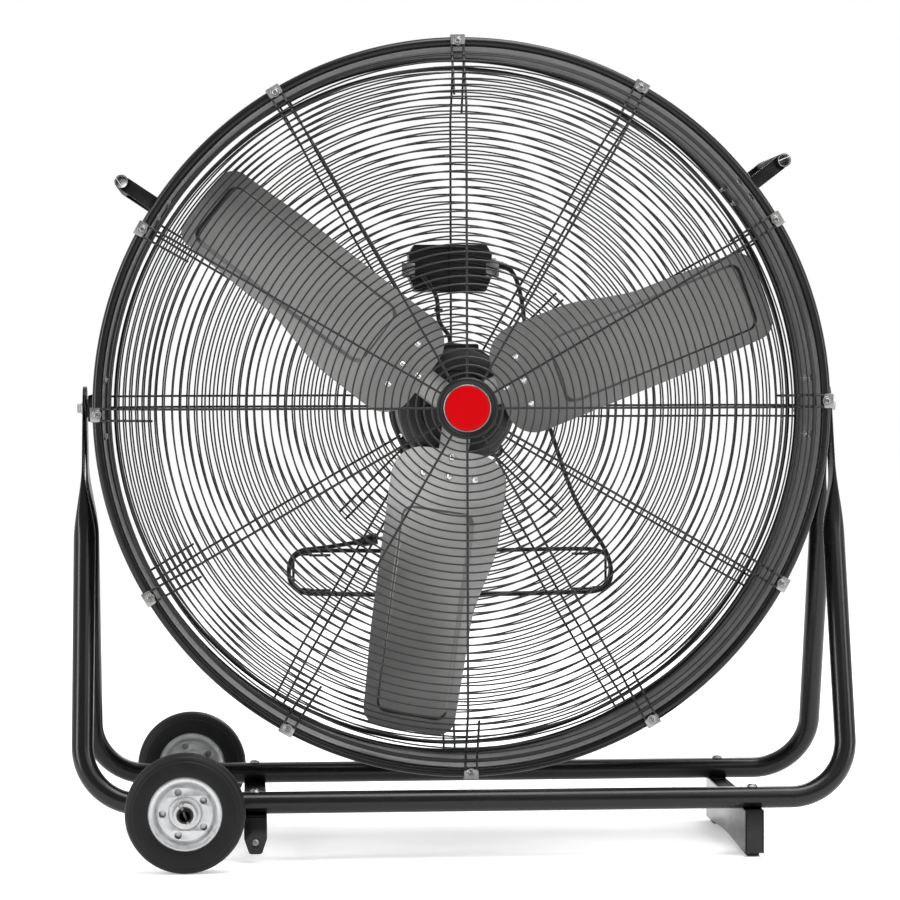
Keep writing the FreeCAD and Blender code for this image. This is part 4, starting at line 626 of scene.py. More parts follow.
RING_WIRE, SPOKE_WIRE, EDGE_WIRE, EDGE_RADIUS = 1.2, 1.7, 3.0, 486.0
GUARD, GUARD_FOOT = 172.0, 115.7
SHOULDER, SLOPE_END, REACH = 414.0, 488.0, 507.5
PITCH = 10.95
SPOKES = 12
HAIRPIN = 15.8
RETURN = 426.0
STACK = RING_WIRE + SPOKE_WIRE + 0.02
SLOPE = math.atan2(GUARD - GUARD_FOOT, SLOPE_END - SHOULDER)


def ring_stations(first):
    """Radius and height of each ring, from the middle out and down the slope."""
    rings = []
    radius = first
    while radius < SHOULDER - 2:
        rings.append((radius, GUARD + STACK))
        radius += PITCH
    travel = max(4.0, radius - SHOULDER + 2)
    while travel < math.hypot(SLOPE_END - SHOULDER, GUARD - GUARD_FOOT) - 4:
        rings.append((SHOULDER + travel * math.cos(SLOPE) + STACK * math.sin(SLOPE),
                      GUARD - travel * math.sin(SLOPE) + STACK * math.cos(SLOPE)))
        travel += PITCH
    return rings


def wire_ring(radius, wire, sides=8, segments=144):
    return lathe([(radius + x, y) for x, y in circle(0, 0, wire, sides)], segments)


def guard(side, sign, first, inner_radius, second_inner=None):
    """Rings and hairpin spokes; second_inner is where every other hairpin's second leg ends."""
    rings = [wire_ring(radius, RING_WIRE).at(on_axis(sign * level)) for radius, level in ring_stations(first)]
    edge = GUARD_FOOT - SPOKE_WIRE - EDGE_WIRE - 0.02
    rings.append(wire_ring(EDGE_RADIUS, EDGE_WIRE, 14, 200).at(on_axis(sign * edge)))
    piece(side + "_rings", rings, "drum", "guard_wire", [side + "_guard_rings"], sharp=80)
    gap = HAIRPIN * sign
    level, foot = GUARD * sign, GUARD_FOOT * sign
    share = (RETURN - SHOULDER) / (SLOPE_END - SHOULDER)
    back = level + (foot - level) * share
    half = HAIRPIN / 2
    long_leg = bent([(0, level, inner_radius), (0, level, SHOULDER), (0, foot, SLOPE_END),
                     (0, foot, REACH - half)], 18.0)
    eye = [Vector((gap / 2 * (1 - math.cos(a)), foot, REACH - half + half * math.sin(a)))
           for a in (math.pi * k / 10 for k in range(1, 10))]
    short_leg = bent([(gap, foot, REACH - half), (gap, foot, SLOPE_END), (gap, back, RETURN)], 18.0)
    single = tube(long_leg + eye + short_leg, SPOKE_WIRE, 10)
    twin = single
    if second_inner:
        second = bent([(gap, foot, REACH - half), (gap, foot, SLOPE_END), (gap, level, SHOULDER),
                       (gap, level, second_inner)], 18.0)
        twin = tube(long_leg + eye + second, SPOKE_WIRE, 10)
    spokes = [(twin if k % 2 else single).at(about_drum(360 / SPOKES * k)) for k in range(SPOKES)]
    piece(side + "_hairpins", spokes, "drum", "guard_wire", [side + "_guard_spokes"], sharp=50)


def struts():
    """Hairpins from the guard to the motor's mount bolts."""
    half_gap, outer = 6.85, 226.0
    loop = [(-half_gap * math.cos(a), GUARD, MOUNT_CIRCLE - half_gap * math.sin(a))
            for a in (math.pi * k / 12 for k in range(13))]
    path = [(-half_gap, GUARD, outer)] + loop + [(half_gap, GUARD, outer)]
    master = tube(path, SPOKE_WIRE, 10)
    piece("strut_hairpins", [master.at(about_drum(45 + 90 * k)) for k in range(4)],
          "drum", "guard_wire", ["rear_guard_struts"], sharp=50)


def clips():
    """Hooded plates that hold the guards on the drum's beads, their screws each turned differently."""
    half, top, face = 10.0, DRUM_REACH, GUARD_FOOT + SPOKE_WIRE
    low = top - 11.0
    high = top + 2.6
    screw_height = (low + top) / 2 - 1
    front = plate(rounded([(-half, low), (half, low), (half, high), (-half, high)], [3, 3, 1.2, 1.2]),
                  2.0, bevel=0.6).at(shift(0, -face, 0) @ FRONT)
    hood = block((-half, -face - 1.9, high - 2.0), (half, -face + 16, high), 0.6)
    washer = lathe([(2.4, 0), (6.4, 0), (6.4, 0.7), (6.0, 1.0), (2.4, 1.0)], 32)
    seat = shift(0, -face - 2.0, screw_height) @ FRONT
    head = cross_screw(4.6, 3.0)
    offset = math.degrees(math.atan(HAIRPIN / 2 / REACH))
    plates, heads = [], []
    for sign, flip in ((-1, 0), (1, 180)):
        for k in range(SPOKES):
            place = about_drum(360 / SPOKES * k + sign * offset) @ turn(flip, "Z")
            plates += [front.at(place), hood.at(place)]
            heads += [washer.at(place @ seat), head.at(place @ seat @ shift(0, 0, 0.4) @ turn(37 * k, "Z"))]
    piece("clip_plates", plates, "drum", "zinc", ["guard_clips"])
    piece("clip_screw_heads", heads, "drum", "zinc", ["guard_clip_screws"])


def badge():
    seat = -(GUARD + SPOKE_WIRE)
    rim = 42.0
    plate_shape = dish([(0, 0), (rim - 0.4, 0), (rim, 0.5), (rim, 2.0), (rim - 0.5, 3.0), (rim - 2, 4.4),
                        (rim - 3, 4.6), (rim - 5, 4.6), (rim - 6, 4.2), (rim - 8, 3.0), (0, 3.0)], 96)
    piece("badge_dish", plate_shape.at(on_axis(seat, -1)), "drum", "badge_plate", ["badge_plate"])
    line = lathe([(30.6, 2.9), (32.2, 2.9), (32.2, 3.5), (31.8, 3.8), (31.0, 3.8), (30.6, 3.5)], 96)
    piece("badge_bright_line", line.at(on_axis(seat, -1)), "drum", "badge_plate", look="zinc")
    disc = 30.5
    face = [(0, 0), (disc, 0), (disc, 1.2), (disc - 0.4, 1.8), (disc - 1.2, 2.2)]
    face += [(disc * (1 - k / 6) - 1.2 * (1 - k / 6), 2.2 + 0.2 * math.sin(math.pi / 2 * k / 6))
             for k in range(1, 6)]
    face.append((0, 2.4))
    piece("badge_disc", dish(face, 96).at(on_axis(seat - 3.0, -1)), "drum", "badge_red", ["badge"])


# ---------------------------------------------------------------- motor


def mount_disc():
    """Round plate behind the motor, with a lug round each mount bolt; returns its thickness."""
    sheet, edge, lug, steps, screw_circle = 3.0, 92.0, 12.0, 144, 86.0
    bearings = [math.radians(45 + 90 * k) for k in range(4)]
    lug_centres = [(MOUNT_CIRCLE * math.sin(a), MOUNT_CIRCLE * math.cos(a)) for a in bearings]
    outline = []
    for spoke in circle(0, 0, 1, steps):
        direction = Vector(spoke)
        best = edge
        for centre in map(Vector, lug_centres):
            near = direction.dot(centre)
            offset = centre.length_squared - near * near
            if near > 0 and offset < lug ** 2:
                best = max(best, near + math.sqrt(lug ** 2 - offset))
        outline.append(tuple(direction * best))
    holes = [circle(0, 0, 22, 48)] + [circle(x, y, 4.0, 20) for x, y in lug_centres]
    for k in range(4):
        a = math.radians(60 + 90 * k)
        holes.append(circle(-screw_circle * math.sin(a), screw_circle * math.cos(a), 2.6, 14))
    mount = plate(outline, sheet, holes, bevel=0.5)
    piece("mount_disc", mount.at(shift(0, MOTOR_BACK, AXIS_HEIGHT) @ BACK), "drum", "black_powder_coat",
          ["motor_mount_plate"])
    return sheet


def motor():
    radius = MOTOR_RADIUS
    depth = 16.0
    length = MOTOR_BACK - MOTOR_FRONT - 2 * depth
    shell = lathe([(radius - 3, 0), (radius - 0.5, 0), (radius, 0.6), (radius, length - 0.6),
                   (radius - 0.5, length), (radius - 3, length)], 128)
    piece("motor_can", shell.at(on_axis(MOTOR_FRONT + depth)), "drum", "motor_paint", ["motor_shell"])
    bell = rounded([(20, 0), (30, 0), (32, 2.5), (50, 2.5), (52, 0), (radius - 16, 0), (radius - 4, 4),
                    (radius, 10), (radius, depth), (radius - 4, depth), (radius - 4, 12), (radius - 16, 6),
                    (26, 6), (26, 12), (20, 12)], 1.2, 3)
    for name, node, station, sign in (("front", "motor_front_bell", MOTOR_FRONT, 1),
                                      ("rear", "motor_rear_bell", MOTOR_BACK, -1)):
        ribs = [block((34, -2, 0.6), (66, 2, 3.2), 0.8).at(turn(45 * k, "Z")) for k in range(8)]
        whole = together([lathe(bell, 128)] + ribs).at(on_axis(station, sign))
        piece("motor_bell_" + name, whole, "drum", "motor_paint", [node])
    sheet = mount_disc()
    bolts = []
    top = MOTOR_BACK + sheet + 2 * SPOKE_WIRE
    for k in range(4):
        spot = drum_point(45 + 90 * k, MOUNT_CIRCLE, 0)
        bolts.append(dome(7.5, 4.5).at(shift(spot.x, MOTOR_BACK, spot.z) @ along((0, -1, 0))))
        bolts.append(lathe([(4, 0), (9, 0), (9, 1.2), (8.6, 1.6), (4, 1.6)], 32)
                     .at(shift(spot.x, top, spot.z) @ along((0, 1, 0))))
        bolts.append(hex_head(7.0, 5.0).at(shift(spot.x, top + 1.4, spot.z) @ along((0, 1, 0))))
    piece("mount_bolts", bolts, "drum", "zinc", ["motor_bolts"])


# ---------------------------------------------------------------- rotor

BLADE_BEARINGS = (68.0, 188.0, 308.0)
BLADE_OFFSET = 5.0
ROOT_PITCH, TIP_PITCH = math.radians(32.0), math.radians(18.0)
ROOT, STRAIGHT = 62.0, 130.0


def ease(low, high, value):
    """Smooth step from 0 at low to 1 at high."""
    t = min(1.0, max(0.0, (value - low) / (high - low)))
    return t * t * (3 - 2 * t)


def blade_edges(radius):
    """Counter-clockwise and clockwise edge of the blade's outline at a radius."""
    left = -78.0 + 21.0 * ease(175.0, 305.0, radius) + 3.0 * ease(300.0, BLADE_TIP, radius)
    right = 79.0 - 5.0 * ease(300.0, BLADE_TIP, radius)
    for corner, depth in ((44.0, radius - ROOT), (26.0, BLADE_TIP - radius)):
        if depth < corner:
            inset = corner - math.sqrt(max(0.0, corner ** 2 - (corner - depth) ** 2))
            left += inset
            right -= inset
    return left, right


def blade_point(x, radius, lift_off):
    """Point of the twisted, cambered sheet above an outline point, lifted off it towards the front."""
    share = max(0.0, (radius - STRAIGHT) / (BLADE_TIP + 12 - STRAIGHT))
    pitch = ROOT_PITCH + (TIP_PITCH - ROOT_PITCH) * share
    chord = 205.0 - 45.0 * share
    camber = 0.4 + 9.0 * math.sin(math.pi * min(1.0, share * 1.5) / 2)
    s = x / (chord * math.cos(pitch))
    for _ in range(3):
        lift = camber * (1 - 4 * s * s)
        s = (x + lift * math.sin(pitch)) / (chord * math.cos(pitch))
    lift = camber * (1 - 4 * s * s) - lift_off
    return Vector((s * chord * math.cos(pitch) - lift * math.sin(pitch),
                   BLADE_OFFSET + s * chord * math.sin(pitch) + lift * math.cos(pitch), radius))


def panel_height(x, radius):
    """Height of the pressed panel: a rounded rectangle with soft walls."""
    corner = 15.0
    left, right, inner, outer = -41.0, 55.0, 149.0, 441.0
    dx = abs(x - (left + right) / 2) - (right - left) / 2 + corner
    dr = abs(radius - (inner + outer) / 2) - (outer - inner) / 2 + corner
    distance = math.hypot(max(dx, 0), max(dr, 0)) + min(max(dx, dr), 0) - corner
    return 3.0 * ease(2.0, -2.0, distance)


def blade():
    """Sheet whose rows crowd towards the root and the tip, where its corners are round."""
    rows, columns, half_sheet, crowding = 180, 130, 1.0, 0.42
    rings = []
    for j in range(rows + 1):
        t = j / rows
        radius = ROOT + (BLADE_TIP - ROOT) * (t - crowding * math.sin(2 * math.pi * t) / (2 * math.pi))
        left, right = blade_edges(radius)
        across = [left + (right - left) * i / columns for i in range(columns + 1)]
        front, back = ([blade_point(x, radius, face + panel_height(x, radius)) for x in across]
                       for face in (half_sheet, -half_sheet))
        rings.append(front + list(reversed(back)))
    return skin(rings)


def rivet_seat(offset, radius):
    """Place of a rivet on the blade's front face, its local Z pointing away from the face."""
    normal = Vector((math.sin(ROOT_PITCH), -math.cos(ROOT_PITCH), 0))
    on_chord = Vector((math.cos(ROOT_PITCH), math.sin(ROOT_PITCH), 0)) * offset
    return shift(*(Vector((0, BLADE_OFFSET, radius)) + on_chord + normal)) @ along(normal)


def rotor():
    master = blade()
    head = dome(5.6, 3.0)
    tail = dome(4.4, 2.0)
    rivets = []
    for number, bearing in enumerate(BLADE_BEARINGS, start=1):
        name = "blade_%d" % number
        piece(name + "_sheet", master.at(about_drum(bearing)), "rotor", "blade_aluminium", [name], sharp=40)
        for offset, radius in ((0, 72), (-42, 99), (0, 99), (42, 99)):
            seat = about_drum(bearing) @ rivet_seat(offset, radius)
            rivets.append(head.at(seat))
            rivets.append(tail.at(seat @ shift(0, 0, -6.0) @ turn(180, "X")))
    piece("rivet_heads", rivets, "rotor", "rivet", ["blade_rivets"])
    outline = rounded([(-23, 20), (23, 20), (23, 78), (52, 86), (52, 114), (-52, 114), (-52, 86), (-23, 78)],
                      [1, 1, 8, 6, 6, 6, 6, 8])
    arm = plate(outline, 4.0, bevel=0.8)
    pitch = math.degrees(ROOT_PITCH)
    lay = shift(0, BLADE_OFFSET) @ turn(pitch, "Z") @ shift(0, 5.0) @ FRONT
    hub = lathe(rounded([(8.1, -8), (26, -8), (26, 16), (22, 28), (8.1, 28)], [0.5, 2.5, 3, 3, 0.5]), 64)
    rib = block((-3, 6, 12), (3, 14, 74), 1.5).at(turn(pitch, "Z"))
    shape = [arm.at(about_drum(b) @ lay) for b in BLADE_BEARINGS]
    shape += [rib.at(about_drum(b)) for b in BLADE_BEARINGS]
    shape.append(hub.at(on_axis(0)))
    piece("spider_casting", shape, "rotor", "cast_spider", ["blade_spider"])


# ---------------------------------------------------------------- stand

LEAN = math.atan2(STANCE, AXIS_HEIGHT - TUBE_HEIGHT)
LEG = math.hypot(STANCE, AXIS_HEIGHT - TUBE_HEIGHT)
UPRIGHT = 523.0


def frame_tube(name, sign, tab_x):
    """U-shaped tube in a leaning plane, its ends pressed flat into round-topped tabs."""
    down_axis = Vector((0, sign * math.sin(LEAN), -math.cos(LEAN)))
    across = Vector((1, 0, 0)).cross(down_axis)
    top = Vector((0, 0, AXIS_HEIGHT))
    tab_half, tab_thin, crown = 23.0, 1.5, 8.0
    sides = 48
    stations = []
    end = -crown - tab_half
    for k in range(13):
        down = end + 0.25 + (tab_half - 0.25) * (k / 12) ** 1.6
        wide = math.sqrt(max(0.0, tab_half ** 2 - (down + crown) ** 2))
        stations.append((tab_x, down, wide, tab_thin, 0.0))
    for k in range(1, 31):
        down = -crown + (200.0 + crown) * k / 30
        t = ease(88.0, 190.0, down)
        wide = tab_half + (TUBE - tab_half) * ease(95.0, 180.0, down)
        thin = tab_thin + (TUBE - tab_thin) * t
        stations.append((tab_x + (UPRIGHT - tab_x) * t, down, wide, thin, t))
    path = [(top + Vector((-x, 0, 0)) + down_axis * d, Vector((1, 0, 0)), w, thin, t)
            for x, d, w, thin, t in stations]
    bend = 80.0
    for k in range(12):
        path.append((top + Vector((-UPRIGHT, 0, 0)) + down_axis * (200 + (LEG - bend - 200) * (k + 1) / 12),
                     Vector((1, 0, 0)), TUBE, TUBE, 1.0))
    for k in range(1, 21):
        a = math.pi / 2 * k / 20
        centre = top + Vector((bend - UPRIGHT, 0, 0)) + down_axis * (LEG - bend)
        inward = Vector((math.cos(a), 0, 0)) - down_axis * math.sin(a)
        path.append((centre - inward * bend, inward, TUBE, TUBE, 1.0))
    mirrored = [(Vector((-c.x, c.y, c.z)), Vector((-n.x, n.y, n.z)), w, thin, t)
                for c, n, w, thin, t in reversed(path)]
    rings = []
    for centre, normal, wide, thin, t in path + mirrored:
        power = 2.0 / (2.0 + 6.0 * (1 - t))
        ring = []
        for c, s in circle(0, 0, 1, sides):
            ring.append(centre + normal * (thin * math.copysign(abs(c) ** power, c))
                        + across * (wide * math.copysign(abs(s) ** power, s)))
        rings.append(ring)
    return piece(name + "_tube", skin(rings), "stand", "black_powder_coat", [name], sharp=45)


EAR_SCREW = 29.0


def braces():
    """Strap under the tubes near the wheels, with an ear turned down at each end."""
    half_length, sheet, centre, wide = CROSSBAR_HALF, 3.0, BRACE_X, 15.5
    top = TUBE_HEIGHT - TUBE
    web = block((centre - wide, -half_length, top - sheet), (centre + wide, half_length, top), 0.8)
    ear = plate(rounded([(-wide, top), (-wide, 34), (-8.5, 13), (8.5, 13), (wide, 34), (wide, top)],
                        [0.5, 10, 5, 5, 10, 0.5], 6), sheet, [circle(0, EAR_SCREW, 2.6, 18)], bevel=0.6)
    ears = [ear.at(shift(centre, -half_length + sheet, 0) @ FRONT),
            ear.at(shift(centre, half_length - sheet, 0) @ BACK)]
    piece("brace_strap", [web] + ears, "stand", "black_powder_coat", ["left_brace"])


def foot_bar():
    """Channel under the tubes away from the wheels, its lower edges cut to a low arch."""
    half_length, sole, centre, half = CROSSBAR_HALF, 6.0, FOOT_X, 13.0
    top = TUBE_HEIGHT - TUBE
    wall, span, rise = 2.5, half_length - 46, 5.0
    arch = [(-span + span * k / 10, sole + rise * math.sin(math.pi * k / 20)) for k in range(21)]
    outline = [(half_length, sole), (half_length, top), (-half_length, top), (-half_length, sole)] + arch
    side_view = Matrix(((0, 0, 1, 0), (1, 0, 0, 0), (0, 1, 0, 0), (0, 0, 0, 1)))
    flank = plate(outline, wall, bevel=0.5).at(side_view)
    parts = [flank.at(shift(centre - half, 0, 0)), flank.at(shift(centre + half - wall, 0, 0)),
             block((centre - half, -half_length, top - wall), (centre + half, half_length, top), 0.9)]
    for sign in (-1, 1):
        inner = sign * (half_length - wall)
        low_y, high_y = sorted((inner, sign * half_length))
        parts.append(block((centre - half, low_y, sole), (centre + half, high_y, top), 1.2, 3))
        low_y, high_y = sorted((sign * span, inner))
        parts.append(block((centre - half + 1, low_y, sole), (centre + half - 1, high_y, sole + wall), 0.6))
    piece("foot_channel", parts, "stand", "black_powder_coat", ["foot_bar"])


def foot_pads():
    """Blocks inside the brace's ears, and soles under the foot bar's ends."""
    pads, half = [], 8.5
    for sign in (-1, 1):
        low_y, high_y = sorted((sign * 184.0, sign * 168.0))
        pads.append(block((BRACE_X - half, low_y, 14), (BRACE_X + half, high_y, 44), 2.5, 3))
        low_y, high_y = sorted((sign * 174.0, sign * 144.0))
        pads.append(block((FOOT_X - half, low_y, 0), (FOOT_X + half, high_y, 6.0), 1.5, 2))
    piece("rubber_feet", pads, "stand", "foot_rubber", ["foot_pads"])


def stand_fasteners():
    heads = []
    tube_top = TUBE_HEIGHT + TUBE
    screw = cross_screw(7.0, 4.0)
    nut = hex_head(7.0, 5.9)
    for x in (BRACE_X, FOOT_X):
        for station in (-STANCE, STANCE):
            heads.append(screw.at(shift(x, station, tube_top)))
            heads.append(nut.at(shift(x, station, TUBE_HEIGHT - TUBE - 3.0) @ turn(180, "X")))
    for sign in (-1, 1):
        seat = shift(BRACE_X, sign * CROSSBAR_HALF, EAR_SCREW) @ along((0, sign, 0))
        heads.append(cross_screw(4.5, 3.0).at(seat))
    piece("frame_screw_heads", heads, "stand", "zinc", ["frame_screws"])
    outer = span("pivot_bolts", 0)[1] - 8
    washer = lathe([(5, 0), (8.4, 0), (8.4, 1.4), (8.0, 2), (5, 2)], 40)
    bolts = []
    for sign in (-1, 1):
        axis = along((sign, 0, 0))
        bolts.append(washer.at(shift(sign * outer, 0, AXIS_HEIGHT) @ axis))
        bolts.append(hex_head(7.2, 6.0).at(shift(sign * (outer + 2), 0, AXIS_HEIGHT) @ axis))
        shank = tube([(0, 0, 504.3), (0, 0, outer + 1)], 5.0, 24)
        bolts.append(shank.at(AXIS @ turn(90 * sign, "Y")))
        bolts.append(hex_head(8.5, 7.5).at(shift(sign * 507.6, 0, AXIS_HEIGHT) @ axis))
    piece("pivot_bolt_set", bolts, "stand", "zinc", ["pivot_bolts"])


# ---------------------------------------------------------------- wheels


def wheel(side, sign):
    """Moulded tyre on two pressed discs with five holes, turning on a hub sleeve."""
    place = shift(WHEEL_X, sign * WHEEL_Y, TUBE_HEIGHT) @ along((0, sign, 0))
    half, outer, rim = WHEEL_HALF, WHEEL_RADIUS, 49.5
    flank = [(rim, 0), (rim, half - 3), (rim + 1, half - 1), (rim + 3, half - 0.2), (rim + 6, half),
             (outer - 11.5, half - 0.3), (outer - 10.2, half - 0.9), (outer - 9.4, half - 2.0),
             (outer - 6, half - 3.0), (outer - 2.4, half - 6.0), (outer - 0.6, half - 9.5),
             (outer, half - 13)]
    tread_groove = [(outer - 1.2, half - 13.8), (outer - 1.2, half - 15), (outer, half - 15.8)]
    right = flank + tread_groove
    profile = right + [(r, -h) for r, h in reversed(right)][:-1]
    piece(side + "_tyre", lathe(profile, 144).at(place), side + "_wheel", "tyre", [side + "_wheel_tyre"])
    shells = []
    for mirror in (1, -1):
        holes = [circle(30 * math.cos(a), 30 * math.sin(a), 4.8, 20) for a in
                 (math.pi + 2 * math.pi * k / 5 for k in range(5))]
        web = plate(circle(0, 0, 37.0, 72), 1.6, holes + [circle(0, 0, 22.0, 60)], bevel=0.4)
        rim_outline = [(36.4, 3.4), (36.4, 5.0), (38.5, 6.6), (40.5, 10.2), (43, 12.4), (46.5, 13.6),
                       (rim, 13.2), (rim, 10.0), (46.5, 11.8), (43.6, 10.6), (42, 8.0), (40.0, 4.6),
                       (38, 3.4)]
        rim_part = lathe(rounded(rim_outline, 0.8, 2), 120)
        hub_outline = [(14.5, 7.6), (20.2, 7.6), (22.8, 4.9), (22.8, 3.4), (19.4, 6.0), (14.5, 6.0)]
        hub_part = lathe(rounded(hub_outline, 0.7, 2), 96)
        for part in (web.at(shift(0, 0, 3.4)), rim_part, hub_part):
            shells.append(part if mirror > 0 else part.at(turn(180, "X") @ turn(180, "Z")))
    shells.append(lathe([(rim - 1.2, -11), (rim, -11), (rim, 11), (rim - 1.2, 11)], 96))
    piece(side + "_disc", together(shells).at(place), side + "_wheel", "galvanised", [side + "_wheel_disc"])
    sleeve = half + 2
    hub = lathe(rounded([(8.05, -sleeve), (11, -sleeve), (11, -14), (14.6, -12), (14.6, 12), (11, 14),
                         (11, sleeve), (8.05, sleeve)], 0.6, 2), 64)
    piece(side + "_hub", hub.at(place), side + "_wheel", "hub_steel", [side + "_wheel_hub"])


def axle_parts():
    """Axle with bored ends, and at each end a collar and a split pin, seen across the bore."""
    collar = lathe(rounded([(8.1, 0), (11.6, 0), (11.6, 1.8), (10.4, 3.4), (8.1, 3.4)], 0.6, 2), 48)
    eye = [(3.0 * math.cos(a) - 14.6, 0, 3.0 * math.sin(a)) for a in
           (0.35 + (2 * math.pi - 0.7) * k / 16 for k in range(17))]
    legs = [[(-11.8, 0, side * 0.8), (11, 0, side * 0.8), (tip, 0, side * 2.4)]
            for side, tip in ((1, 13.4), (-1, 12.4))]
    pin = together([tube(eye, 0.8, 8)] + [tube(leg, 0.8, 8) for leg in legs])
    pins, collars = [], []
    for sign in (-1, 1):
        station = sign * (WHEEL_Y + WHEEL_HALF + 7)
        pins.append(pin.at(shift(WHEEL_X, station, TUBE_HEIGHT) @ turn(68, "Y")))
        collars.append(collar.at(shift(WHEEL_X, station - sign * 4.4, TUBE_HEIGHT) @ along((0, sign, 0))))
    piece("split_pins", pins, "stand", "zinc", ["cotter_pins"])
    end, bore, depth = span("axle", 1)[1], 7.0, 40.0
    half = [(8.0, end - 0.8), (7.6, end), (bore + 0.3, end), (bore, end - 0.8), (bore, end - depth),
            (0.5, end - depth)]
    bar = lathe([(r, -h) for r, h in reversed(half)] + half, 48)
    bar = bar.at(shift(WHEEL_X, 0, TUBE_HEIGHT) @ turn(90, "X"))
    piece("axle_bar", bar, "stand", "shaft_steel", ["axle"], look="matt_black")
    piece("axle_collars", collars, "stand", "black_plastic")


# ---------------------------------------------------------------- switch box and leads

BOX_FACE, BOX_DEPTH, BOX_RISE = 178.4, 48.0, 167.0
BOX_HALF_WIDTH, BOX_HALF_HEIGHT = 61.0, 34.5
BOX_CENTRE = AXIS_HEIGHT + BOX_RISE + BOX_HALF_HEIGHT


def switch_box():
    """Body, lid with generic dial dots, bracket tabs and the small screws."""
    w, h = BOX_HALF_WIDTH, BOX_HALF_HEIGHT
    right_side = [(w - 9, -h), (w, 22 - h), (w, h - 13), (w - 8, h)]
    outline = rounded(right_side + [(-x, z) for x, z in reversed(right_side)], 2.5)
    shell = plate(outline, BOX_DEPTH, bevel=1.6).at(shift(0, BOX_FACE + BOX_DEPTH, BOX_CENTRE) @ FRONT)
    piece("box_body", shell, "drum", "box_paint", ["switch_box"])
    back = BOX_FACE + BOX_DEPTH
    lid = plate(outline, 2.0, [circle(0, 0, 6.2, 28)], bevel=0.7).at(shift(0, back, BOX_CENTRE) @ BACK)
    piece("box_lid", lid, "drum", "box_paint", ["switch_box_lid"])
    dots = [dome(1.3, 0.5, 12, 3).at(shift(0, back + 2, BOX_CENTRE) @ BACK @
                                     shift(25 * math.sin(a), 25 * math.cos(a), 0))
            for a in (math.radians(-90 + 45 * k) for k in range(5))]
    piece("dial_dots", dots, "drum", "white_plastic")
    rings_back = GUARD + STACK + RING_WIRE
    reach = w + 10
    low = AXIS_HEIGHT + BOX_RISE + 22
    tab_screw = AXIS_HEIGHT + 194.4
    tabs = []
    for sign in (-1, 1):
        near, far = sorted((sign * (w - 9), sign * reach))
        tabs.append(block((near, rings_back + 0.02, low), (far, BOX_FACE - 0.02, low + 20), 0.7))
        near, far = sorted((sign * (reach - 2), sign * reach))
        tabs.append(block((near, BOX_FACE - 2, low), (far, BOX_FACE + 12, low + 20), 0.7))
        tabs.append(cross_screw(3.6, 2.2).at(shift(sign * 65, rings_back, tab_screw) @ FRONT))
    piece("bracket_tabs", tabs, "drum", "zinc", ["switch_box_bracket"])
    screws = [cross_screw(4.5, 3.0).at(shift(sx * (w - 9), back + 2, BOX_CENTRE + sz * (h - 15)) @ BACK)
              for sx in (-1, 1) for sz in (-1, 1)]
    screws += [cross_screw(4.5, 3.0).at(shift(x, MOTOR_BACK, AXIS_HEIGHT + 86.5) @ FRONT)
               for x in (-8, 3, 15)]
    piece("small_screw_heads", screws, "drum", "zinc", ["box_and_motor_screws"])


def knob():
    """Round skirt with a bar across it and a pointer mark."""
    back = BOX_FACE + BOX_DEPTH + 2.4
    profile = [(0, 0), (18.4, 0), (19, 0.6), (19, 3.4), (18.4, 4.2), (15.4, 6.6), (14.8, 7.4),
               (13.2, 14.8), (12.2, 16), (0, 16.6)]
    skirt = dish(profile, 64).at(shift(0, back, BOX_CENTRE) @ along((0, 1, 0)))
    grip = block((-4, back + 3, BOX_CENTRE - 17), (4, back + 22.6, BOX_CENTRE + 17), 1.8, 3)
    stem = tube([(0, back - 11, BOX_CENTRE), (0, back + 1, BOX_CENTRE)], 5.9, 24)
    piece("knob_grip", [skirt, grip, stem], "knob", "black_plastic", ["switch_knob"])
    mark = block((-0.8, back + 22.2, BOX_CENTRE + 4), (0.8, back + 22.95, BOX_CENTRE + 15), 0.3, 1)
    piece("knob_mark", mark, "knob", "white_plastic")


def glands_and_lead():
    """Gland of the power cord, grommet of the motor lead, and the lead with its tie."""
    right = shift(BOX_HALF_WIDTH, 203, AXIS_HEIGHT + BOX_RISE + 40) @ along((1, 0, 0))
    nut = lathe([(3.4, -4), (7.6, -4), (8, -3), (8, 0.5), (3.4, 0.5)], 32)
    collar = skin([level_ring(r, z, 8) for r, z in
                   ((9.2, 0.05), (9.9, 0.7), (9.9, 6.6), (8.6, 7.6), (7.0, 9.0))])
    leave = Vector((-42, BOX_FACE, AXIS_HEIGHT + 189.475))
    forward = shift(*leave) @ along((0, -1, 0))
    grommet = lathe(rounded([(3.3, -3), (5, -3), (5, 0.05), (7, 0.05), (7, 1.8), (3.3, 1.8)], 0.5, 2), 32)
    piece("gland_nuts", [nut.at(right), collar.at(right), grommet.at(forward)],
          "drum", "black_plastic", ["cord_glands"])
    h = AXIS_HEIGHT
    route = [leave + Vector((0, 5, 0)), leave - Vector((0, 28, 0)), (-22, 134, h + 160), (-21, 134, h + 122),
             (-4, 132, h + 101), (-4, 132, h + 84.6)]
    lead = tube(bent(route, 40.0, 10), 3.2, 16)
    piece("lead_jacket", lead, "drum", "cord_jacket", ["motor_lead"], sharp=60)
    band = lathe(rounded([(3.3, -2), (5.1, -2), (5.1, 2), (3.3, 2)], 0.4, 2), 32)
    band = band.at(shift(-21.5, 134, h + 139))
    latch = block((-18.6, 131.6, h + 136.6), (-14.2, 136.4, h + 141.4), 0.8)
    piece("tie_band", [band, latch], "drum", "black_plastic", ["cable_tie"])


